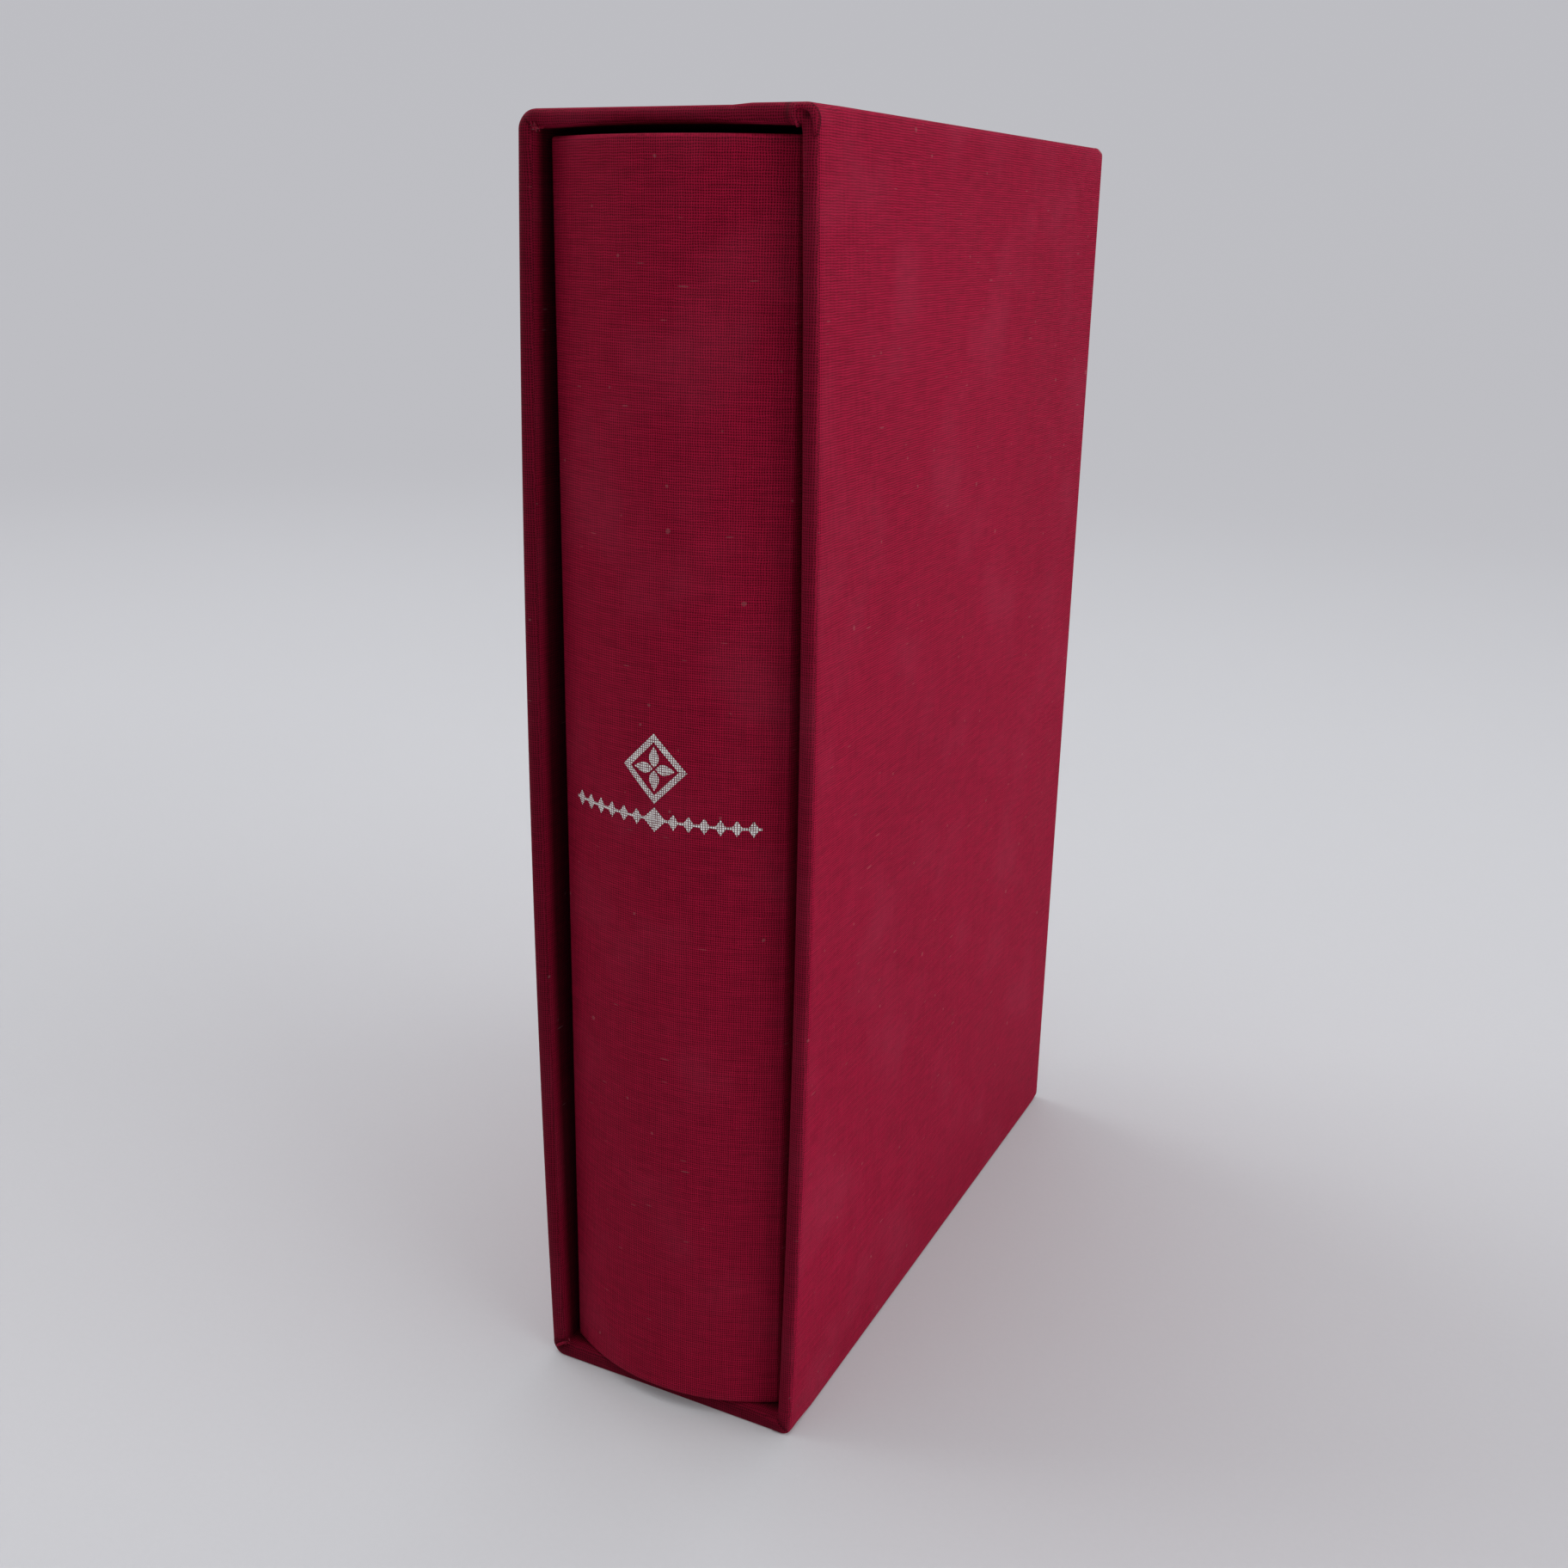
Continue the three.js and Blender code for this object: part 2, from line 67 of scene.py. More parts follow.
MM = 0.001
Colour = tuple[float, float, float]
Flat = tuple[float, float]
Point = tuple[float, float, float]

# A station of the cover in plan: outside, inside, how much turns in at head and tail, and wear.
Station = tuple[Flat, Flat, float, float]

# The dark between two threads, and the point that the lamps look at.
HOLE: Colour = (0.004, 0.001, 0.002)
AIM: Point = (0.0, 0.0, 0.1)

# How many lumps of noise book cloth has to a metre.
CLOUDS, PATCHES, SPECKS, GRAIN = 9.0, 38.0, 520.0, 700.0

# How many steps the forms have round an edge, and along each stretch of the book's cover.
LIP_STEPS, EDGE_STEPS, TURN_STEPS, MITRE_STEPS = 5, 6, 4, 8
SPINE_STEPS, SHOULDER_STEPS, GROOVE_STEPS, CLIMB_STEPS = 40, 12, 14, 12
PAGE_STEPS, BAND_STEPS, CURL_STEPS, CURL_SIDES, SWEEP_STEPS = 24, 30, 14, 12, 12


def linear(red: int, green: int, blue: int) -> Colour:
    """Turns an 8-bit screen colour into linear light.

    Args:
        red: Red from 0 to 255.
        green: Green from 0 to 255.
        blue: Blue from 0 to 255.

    Returns:
        The linear colour.
    """

    def channel(value: int) -> float:
        """One channel in linear light."""
        share = value / 255
        return share / 12.92 if share <= 0.04045 else ((share + 0.055) / 1.055) ** 2.4

    return channel(red), channel(green), channel(blue)


class Corner(Enum):
    """The four corners of the case's mouth, as a viewer sees them."""

    BOTTOM_LEFT = (-1, -1)
    BOTTOM_RIGHT = (1, -1)
    TOP_RIGHT = (1, 1)
    TOP_LEFT = (-1, 1)


class Wall(Enum):
    """Which way a patch of cloth faces, for laying its weave along the edges of the board."""

    SIDE = "x"
    MOUTH = "y"
    FLAT = "z"


class Shader:
    """A material's node tree with short calls for the nodes that the finishes need."""

    def __init__(self, name: str) -> None:
        """Starts an empty tree.

        Args:
            name: The material's name.
        """
        self.material = bpy.data.materials.new(name)
        self.material.use_nodes = True
        self.tree = self.material.node_tree
        self.tree.nodes.clear()

    def node(self, kind: str, **settings: object) -> bpy.types.Node:
        """Adds a node and sets its options.

        Args:
            kind: The node's type name.
            **settings: Options of the node.

        Returns:
            The new node.
        """
        made = self.tree.nodes.new(kind)
        for key, value in settings.items():
            setattr(made, key, value)
        return made

    def feed(self, socket: bpy.types.NodeSocket, value: object) -> None:
        """Links a socket to another, or sets its value.

        Args:
            socket: The input.
            value: An output socket, a number or a colour.
        """
        if isinstance(value, bpy.types.NodeSocket):
            self.tree.links.new(value, socket)
        elif isinstance(value, tuple) and len(value) == 3 and socket.type == "RGBA":
            socket.default_value = (*value, 1.0)
        else:
            socket.default_value = value

    def math(self, operation: str, first: object, second: object = 0.0, third: object = 0.0) -> object:
        """A sum, product or other operation on numbers.

        Args:
            operation: The operation's name.
            first: The first number or socket.
            second: The second number or socket.
            third: The third number or socket.

        Returns:
            The result's socket.
        """
        made = self.node("ShaderNodeMath", operation=operation)
        for socket, value in zip(made.inputs, (first, second, third)):
            self.feed(socket, value)
        return made.outputs[0]

    def ramp(self, value: object, low: float, high: float, to_low: float, to_high: float) -> object:
        """Maps a stretch of values smoothly on to another, clamped at both ends.

        Args:
            value: The number or socket to map.
            low: Where the stretch starts.
            high: Where it ends.
            to_low: The result at its start.
            to_high: The result at its end.

        Returns:
            The result's socket.
        """
        made = self.node("ShaderNodeMapRange", interpolation_type="SMOOTHSTEP")
        for socket, number in zip(made.inputs, (value, low, high, to_low, to_high)):
            self.feed(socket, number)
        return made.outputs[0]

    def blend(self, share: object, first: object, second: object) -> object:
        """Mixes two colours.

        Args:
            share: How much of the second shows.
            first: The first colour or socket.
            second: The second colour or socket.

        Returns:
            The result's socket.
        """
        made = self.node("ShaderNodeMix", data_type="RGBA")
        self.feed(made.inputs[0], share)
        self.feed(made.inputs[6], first)
        self.feed(made.inputs[7], second)
        return made.outputs[2]

    def noise(self, vector: object, scale: float, detail: float = 2.0) -> object:
        """Soft noise from 0 to 1.

        Args:
            vector: The coordinate's socket.
            scale: How many lumps in a unit of it.
            detail: How many finer layers.

        Returns:
            The noise's socket.
        """
        made = self.node("ShaderNodeTexNoise")
        self.feed(made.inputs["Vector"], vector)
        self.feed(made.inputs["Scale"], scale)
        self.feed(made.inputs["Detail"], detail)
        return made.outputs[0]

    def stretched(self, vector: object, scale: Point) -> object:
        """A coordinate with each axis scaled.

        Args:
            vector: The coordinate's socket.
            scale: The factor along each axis.

        Returns:
            The scaled coordinate's socket.
        """
        made = self.node("ShaderNodeVectorMath", operation="MULTIPLY")
        self.feed(made.inputs[0], vector)
        self.feed(made.inputs[1], scale)
        return made.outputs[0]

    def scaled(self, colour: object, factor: object) -> object:
        """A colour multiplied by a number.

        Args:
            colour: The colour or its socket.
            factor: The number or its socket.

        Returns:
            The result's socket.
        """
        made = self.node("ShaderNodeVectorMath", operation="SCALE")
        self.feed(made.inputs[0], colour)
        self.feed(made.inputs["Scale"], factor)
        return made.outputs[0]

    def place(self) -> bpy.types.NodeSocket:
        """The object's own coordinates, in metres."""
        return self.node("ShaderNodeTexCoord").outputs["Object"]

    def axes(self, vector: object) -> list[bpy.types.NodeSocket]:
        """The three numbers of a coordinate, each as a socket."""
        made = self.node("ShaderNodeSeparateXYZ")
        self.feed(made.inputs[0], vector)
        return list(made.outputs)

    def surface(self, colour: object, roughness: object, bump: object, depth: float,
                sheen: float = 0.0, metallic: object = 0.0, specular: float = 0.2) -> bpy.types.Node:
        """The surface shader with its bump.

        Args:
            colour: The base colour.
            roughness: The roughness.
            bump: The height's socket.
            depth: How deep the bump is, in metres.
            sheen: How much sheen the fibres give.
            metallic: How metallic it is.
            specular: The strength of the plain reflection.

        Returns:
            The shader's node.
        """
        lift = self.node("ShaderNodeBump")
        lift.inputs["Strength"].default_value = 1.0
        lift.inputs["Distance"].default_value = depth
        self.feed(lift.inputs["Height"], bump)
        made = self.node("ShaderNodeBsdfPrincipled")
        values = {
            "Base Color": colour, "Roughness": roughness, "Metallic": metallic, "Sheen Weight": sheen,
            "Sheen Roughness": 0.5, "Specular IOR Level": specular, "Normal": lift.outputs[0],
        }
        for name, value in values.items():
            self.feed(made.inputs[name], value)
        return made

    def done(self, shader: bpy.types.Node) -> bpy.types.Material:
        """Ends the tree with a shader.

        Args:
            shader: The node whose first output is the surface.

        Returns:
            The material.
        """
        out = self.node("ShaderNodeOutputMaterial")
        self.tree.links.new(shader.outputs[0], out.inputs[0])
        return self.material


@dataclass(frozen=True)
class Weave:
    """The plain weave of book cloth, with uneven threads.

    Attributes:
        pitch: The distance from thread to thread.
        waver: How far the threads wander, in threads.
        slub: How much thick and thin places change the tone.
    """

    pitch: float = 0.43 * MM
    waver: float = 0.5
    slub: float = 0.16

    def lay(self, shader: Shader, across: object, up: object, place: object) -> dict[str, object]:
        """Builds the weave's height, holes and slubs.

        Args:
            shader: The tree.
            across: The coordinate along the weft, in metres.
            up: The coordinate along the warp, in metres.
            place: Both as one vector, in metres.

        Returns:
            The sockets by name: height, hole, slub and gap.
        """
        threads = 1 / self.pitch
        drift_u = shader.noise(place, 420.0, 2.0)
        drift_v = shader.noise(shader.stretched(place, (0.6, 1.0, 1.0)), 650.0, 2.0)
        waver = self.waver * 2
        u = shader.math("MULTIPLY_ADD", drift_u, waver, shader.math("MULTIPLY", across, threads))
        v = shader.math("MULTIPLY_ADD", drift_v, waver, shader.math("MULTIPLY", up, threads))
        sine_u, sine_v = (shader.math("SINE", shader.math("MULTIPLY", w, math.pi)) for w in (u, v))
        size_u, size_v = (shader.math("ABSOLUTE", sine) for sine in (sine_u, sine_v))
        over = shader.math("MULTIPLY", sine_u, sine_v)
        warp = shader.math("MULTIPLY", size_u, shader.math("MULTIPLY_ADD", over, 0.4, 0.6))
        weft = shader.math("MULTIPLY", size_v, shader.math("MULTIPLY_ADD", over, -0.4, 0.6))
        height = shader.math("MAXIMUM", warp, weft)
        gap_u, gap_v = (shader.math("SUBTRACT", 1.0, size) for size in (size_u, size_v))
        hole = shader.ramp(shader.math("MULTIPLY", gap_u, gap_v), 0.06, 0.55, 0.0, 1.0)
        weft_slub = shader.noise(shader.stretched(place, (150.0, 1500.0, 1500.0)), 1.0, 3.0)
        warp_slub = shader.noise(shader.stretched(place, (1400.0, 130.0, 1400.0)), 1.0, 3.0)
        slub = shader.math("MULTIPLY_ADD", weft_slub, 0.65, shader.math("MULTIPLY", warp_slub, 0.35))
        gap = shader.math("MAXIMUM", gap_u, shader.math("MULTIPLY", gap_v, 0.85))
        return {"height": height, "hole": hole, "slub": slub, "gap": gap}


@dataclass(frozen=True)
class BookCloth:
    """Dyed plain-weave book cloth, matt and a little rubbed.

    Attributes:
        name: The material's name.
        thread: The colour of the threads' crowns.
        valley: The colour between them.
        bloom: The paler colour of rubbed and dusty places.
        bare: The colour of cloth worn down to its fibres.
        weave: The weave.
        relief: How far the threads stand out.
        mottle: How strong the rubbed and dusty places are.
    """

    name: str
    thread: Colour
    valley: Colour
    bloom: Colour
    bare: Colour
    weave: Weave = Weave()
    relief: float = 0.07 * MM
    mottle: float = 0.13

    def make(self) -> bpy.types.Material:
        """Builds the material.

        Returns:
            The material.
        """
        shader = Shader(self.name)
        place = shader.node("ShaderNodeUVMap", uv_map="weave").outputs[0]
        across, up, _ = shader.axes(place)
        laid = self.weave.lay(shader, across, up, place)
        crown = shader.ramp(laid["height"], 0.15, 0.95, 0.0, 1.0)
        colour = shader.blend(crown, self.valley, self.thread)
        colour = shader.blend(shader.math("MULTIPLY", laid["hole"], 0.85), colour, HOLE)
        tone = shader.ramp(laid["slub"], 0.3, 0.7, 1 - self.weave.slub, 1 + self.weave.slub)
        colour = shader.scaled(colour, tone)
        patch = shader.noise(place, PATCHES, 3.0)
        colour = shader.blend(shader.ramp(patch, 0.44, 0.72, 0.0, self.mottle), colour, self.bloom)
        shade = shader.ramp(shader.noise(place, CLOUDS, 2.0), 0.3, 0.7, 0.95, 1.04)
        colour = shader.scaled(colour, shade)
        # Darkens the cloth by the piece's darkening values: painted shade in recesses, creases and under
        # folds, and plain darkening on the lips.
        shade_and_darkening_fac = shader.node("ShaderNodeAttribute", attribute_name="shade_and_darkening").outputs["Fac"]
        colour = shader.scaled(colour, shader.math("MULTIPLY_ADD", shade_and_darkening_fac, -0.85, 1.0))
        colour = self._lint(shader, place, colour)
        colour = self._worn(shader, place, colour)
        height = shader.math("MULTIPLY_ADD", laid["slub"], 1.1, laid["height"])
        rough = shader.ramp(patch, 0.3, 0.7, 0.78, 0.9)
        return shader.done(shader.surface(colour, rough, height, self.relief, specular=0.06))

    def _lint(self, shader: Shader, place: object, colour: object) -> object:
        """Sparse pale specks and short hairs of lint.

        Args:
            shader: The tree.
            place: The coordinate.
            colour: The colour so far.

        Returns:
            The colour with its lint.
        """
        speck = shader.ramp(shader.noise(place, SPECKS, 0.0), 0.84, 0.88, 0.0, 0.14)
        hair = shader.noise(shader.stretched(place, (260.0, 1700.0, 1.0)), 1.0, 0.0)
        lint = shader.math("MAXIMUM", speck, shader.ramp(hair, 0.83, 0.88, 0.0, 0.14))
        return shader.blend(lint, colour, self.bare)

    def _worn(self, shader: Shader, place: object, colour: object) -> object:
        """Wear along edges and at corners, from the piece's own wear values.

        Args:
            shader: The tree.
            place: The coordinate.
            colour: The colour so far.

        Returns:
            The colour with its wear.
        """
        wear = shader.node("ShaderNodeAttribute", attribute_name="wear").outputs["Fac"]
        grain = shader.noise(place, GRAIN, 4.0)
        share = shader.math("MULTIPLY_ADD", grain, 1.4, shader.math("SUBTRACT", wear, 1.0))
        worn = shader.ramp(share, 0.12, 0.5, 0.0, 0.75)
        rubbed = shader.blend(shader.math("MULTIPLY", wear, 0.3), colour, self.bloom)
        return shader.blend(worn, rubbed, self.bare)


@dataclass(frozen=True)
class Paper:
    """A plain sheet or board, with faint fibres.

    Attributes:
        name: The material's name.
        colour: Its colour.
        fleck: The colour of its fibres.
        fibre: How many fibres to a metre.
        strength: How much the fibres show.
        rough: Its roughness.
    """

    name: str
    colour: Colour
    fleck: Colour
    fibre: float = 900.0
    strength: float = 0.35
    rough: float = 0.9

    def make(self) -> bpy.types.Material:
        """Builds the material.

        Returns:
            The material.
        """
        shader = Shader(self.name)
        place = shader.place()
        fibre = shader.noise(place, self.fibre, 4.0)
        cloud = shader.noise(place, self.fibre / 25, 2.0)
        colour = shader.blend(shader.ramp(fibre, 0.45, 0.7, 0.0, self.strength), self.colour, self.fleck)
        colour = shader.blend(shader.ramp(cloud, 0.3, 0.7, 0.0, self.strength / 2), colour, self.fleck)
        return shader.done(shader.surface(colour, self.rough, fibre, 0.05 * MM))


@dataclass(frozen=True)
class PageEdges:
    """The cut edges of the pages: hundreds of leaves side by side.

    Attributes:
        name: The material's name.
        paper: The colour of the leaves.
        gap: The colour between them.
        leaf: The thickness of a gathering of a few leaves.
    """

    name: str
    paper: Colour
    gap: Colour
    leaf: float = 0.22 * MM

    def make(self) -> bpy.types.Material:
        """Builds the material.

        Returns:
            The material.
        """
        shader = Shader(self.name)
        place = shader.place()
        leaves = shader.noise(shader.stretched(place, (1 / self.leaf, 9.0, 9.0)), 1.0, 3.0)
        bundles = shader.noise(shader.stretched(place, (420.0, 5.0, 5.0)), 1.0, 2.0)
        lines = shader.ramp(leaves, 0.38, 0.62, 0.0, 1.0)
        colour = shader.blend(lines, self.gap, self.paper)
        colour = shader.blend(shader.ramp(bundles, 0.4, 0.7, 0.0, 0.3), colour, self.gap)
        return shader.done(shader.surface(colour, 0.85, leaves, 0.08 * MM))


@dataclass(frozen=True)
class OpenWeave:
    """Open cotton or corded silk on the back of the pages, on Object coordinates.

    Attributes:
        name: The material's name.
        thread: The colour of the threads.
        gap: The colour between them.
        pitch: The distance from thread to thread.
    """

    name: str
    thread: Colour
    gap: Colour
    pitch: float = 0.9 * MM

    def make(self) -> bpy.types.Material:
        """Builds the material.

        Returns:
            The material.
        """
        shader = Shader(self.name)
        place = shader.place()
        across, _, up = shader.axes(place)
        laid = Weave(self.pitch, waver=0.3).lay(shader, across, up, place)
        colour = shader.blend(shader.ramp(laid["height"], 0.3, 0.9, 0.0, 1.0), self.gap, self.thread)
        made = shader.surface(colour, 0.9, laid["height"], 0.15 * MM, sheen=0.1, specular=0.35)
        return shader.done(made)


@dataclass(frozen=True)
class StampedFoil:
    """Silver foil stamped into cloth, broken along the gaps of the weave.

    Attributes:
        name: The material's name.
        metal: The colour of the foil.
        cloth: The colour that shows through it.
        weave: The weave under it.
    """

    name: str
    metal: Colour
    cloth: Colour
    weave: Weave = Weave()

    def make(self) -> bpy.types.Material:
        """Builds the material.

        Returns:
            The material.
        """
        shader = Shader(self.name)
        place = shader.place()
        across, _, up = shader.axes(place)
        laid = self.weave.lay(shader, across, up, place)
        rubbed = shader.noise(place, 1100.0, 3.0)
        broken = shader.math("MULTIPLY_ADD", rubbed, 0.7, laid["gap"])
        missing = shader.ramp(broken, 0.8, 0.98, 0.0, 1.0)
        tone = shader.ramp(laid["height"], 0.3, 0.9, 0.0, 1.0)
        dull = tuple(channel * 0.8 for channel in self.metal)
        colour = shader.blend(missing, shader.blend(tone, dull, self.metal), self.cloth)
        metallic = shader.ramp(missing, 0.0, 1.0, 0.12, 0.0)
        rough = shader.ramp(missing, 0.0, 1.0, 0.42, 0.85)
        made = shader.surface(colour, rough, laid["height"], 0.1 * MM, metallic=metallic, specular=0.4)
        return shader.done(made)


def linked(name: str, data: bpy.types.ID) -> bpy.types.Object:
    """Makes an object and puts it into the scene.

    Args:
        name: Its name.
        data: Its mesh, lamp or camera.

    Returns:
        The object.
    """
    made = bpy.data.objects.new(name, data)
    bpy.context.collection.objects.link(made)
    return made


def outward(mesh: bpy.types.Mesh) -> None:
    """Turns the faces of closed shells outwards.

    Args:
        mesh: The mesh.
    """
    work = bmesh.new()
    work.from_mesh(mesh)
    bmesh.ops.recalc_face_normals(work, faces=work.faces)
    work.to_mesh(mesh)
    work.free()


def sharpen(piece: bpy.types.Object, degrees: float) -> None:
    """Marks the edges of a piece that turn by more than an angle as sharp.

    Args:
        piece: The piece.
        degrees: The angle.
    """
    work = bmesh.new()
    work.from_mesh(piece.data)
    for edge in work.edges:
        if len(edge.link_faces) == 2:
            edge.smooth = edge.calc_face_angle(0.0) < math.radians(degrees)
    work.to_mesh(piece.data)
    work.free()


@dataclass
class Sheet:
    """A surface laid out as rows of points, with a weave map and wear values.

    Attributes:
        name: The piece's name.
        rows: The rows of points, each as long as the others.
        wear: The wear at each point, in the same layout.
        shade_and_darkening: How far the cloth is darkened at each point, partly by painted shade, or None for
            none.
        laid: The weave's coordinates at each point, or None to follow the walls.
        around: Whether each row closes on itself.
        caps: Rows by index that are closed with one flat face.
    """

    name: str
    rows: list[list[Point]]
    wear: list[list[float]]
    shade_and_darkening: list[list[float]] | None = None
    laid: list[list[Flat]] | None = None
    around: bool = False
    caps: tuple[int, ...] = field(default_factory=tuple)

    def build(self, thickness: float = 0.0) -> bpy.types.Object:
        """Makes the mesh, with its normals outwards, its weave map and its wear.

        Args:
            thickness: The wall that is added inwards, or 0 for none.

        Returns:
            The piece.
        """
        count = len(self.rows[0])
        mesh = bpy.data.meshes.new(self.name)
        points = [point for row in self.rows for point in row]
        mesh.from_pydata(points, [], self._faces(count))
        mesh.update()
        for name, values in (("wear", self.wear), ("shade_and_darkening", self.shade_and_darkening)):
            if values is not None:
                spread = mesh.attributes.new(name, "FLOAT", "POINT")
                spread.data.foreach_set("value", [value for row in values for value in row])
        self._map(mesh, count)
        mesh.shade_smooth()
        piece = linked(self.name, mesh)
        if thickness:
            wall = piece.modifiers.new("wall", "SOLIDIFY")
            wall.thickness = thickness
            wall.offset = -1
        return piece

    def _faces(self, count: int) -> list[list[int]]:
        """The quads between the rows, and the caps."""
        faces = []
        last = count if self.around else count - 1
        for start in range(0, (len(self.rows) - 1) * count, count):
            for k in range(last):
                after = (k + 1) % count
                faces.append([start + k, start + after, start + count + after, start + count + k])
        for row in self.caps:
            ring = [row * count + k for k in range(count)]
            faces.append(ring if row else ring[::-1])
        return faces

    def _map(self, mesh: bpy.types.Mesh, count: int) -> None:
        """Lays the weave's map in metres, along the walls or as given.

        Args:
            mesh: The mesh.
            count: How many points a row has.
        """
        layer = mesh.uv_layers.new(name="weave")
        for polygon in mesh.polygons:
            for loop in polygon.loop_indices:
                vertex = mesh.loops[loop].vertex_index
                if self.laid is None:
                    layer.data[loop].uv = self._along(polygon.normal, mesh.vertices[vertex].co)
                else:
                    row, k = divmod(vertex, count)
                    layer.data[loop].uv = self.laid[row][k]

    @staticmethod
    def _along(normal: Vector, point: Vector) -> Flat:
        """The weave's coordinates on the wall that a face belongs to."""
        sizes = {Wall.SIDE: abs(normal.x), Wall.MOUTH: abs(normal.y), Wall.FLAT: abs(normal.z)}
        wall = max(sizes, key=lambda key: sizes[key])
        if wall is Wall.SIDE:
            return point.y + 0.0001, point.z
        if wall is Wall.MOUTH:
            return point.x, point.z + 0.0002
        return point.x, point.y


def spaced(start: float, end: float, coarse: float, fine: float, edge: float) -> list[float]:
    """Stations from start to end, fine near both ends and coarse between.

    Args:
        start: The first station.
        end: The last station.
        coarse: The step in the middle.
        fine: The step near the ends.
        edge: How far from an end the fine step holds.

    Returns:
        The stations in order.
    """
    length = abs(end - start)
    way = 1 if end > start else -1
    near = [fine * k for k in range(int(edge / fine))]
    first = near[-1] + fine
    middle = max(1, round((length - 2 * first) / coarse))
    between = [first + (length - 2 * first) * k / middle for k in range(middle + 1)]
    far = [length - offset for offset in reversed(near)]
    return [start + way * offset for offset in near + between + far]


def shares(steps: int, first: int = 1) -> list[float]:
    """The even shares of a way, up to 1.

    Args:
        steps: How many steps the way has.
        first: The step to start from, 0 for the way's own start.

    Returns:
        The shares in order.
    """
    return [k / steps for k in range(first, steps + 1)]


def quarter(steps: int) -> list[Flat]:
    """The stations of a quarter round of radius 1, without its start.

    Args:
        steps: How many.

    Returns:
        For each, how far it is from the start's side and how far from the end's.
    """
    angles = [math.pi / 2 * share for share in shares(steps)]
    return [(1 - math.cos(angle), 1 - math.sin(angle)) for angle in angles]


def bell(distance: float, width: float) -> float:
    """A smooth hump of height 1 at distance 0."""
    return math.exp(-((distance / width) ** 2))


def step(value: float, start: float, end: float) -> float:
    """A smooth step from 0 at start to 1 at end."""
    share = min(max((value - start) / (end - start), 0.0), 1.0)
    return share * share * (3 - 2 * share)


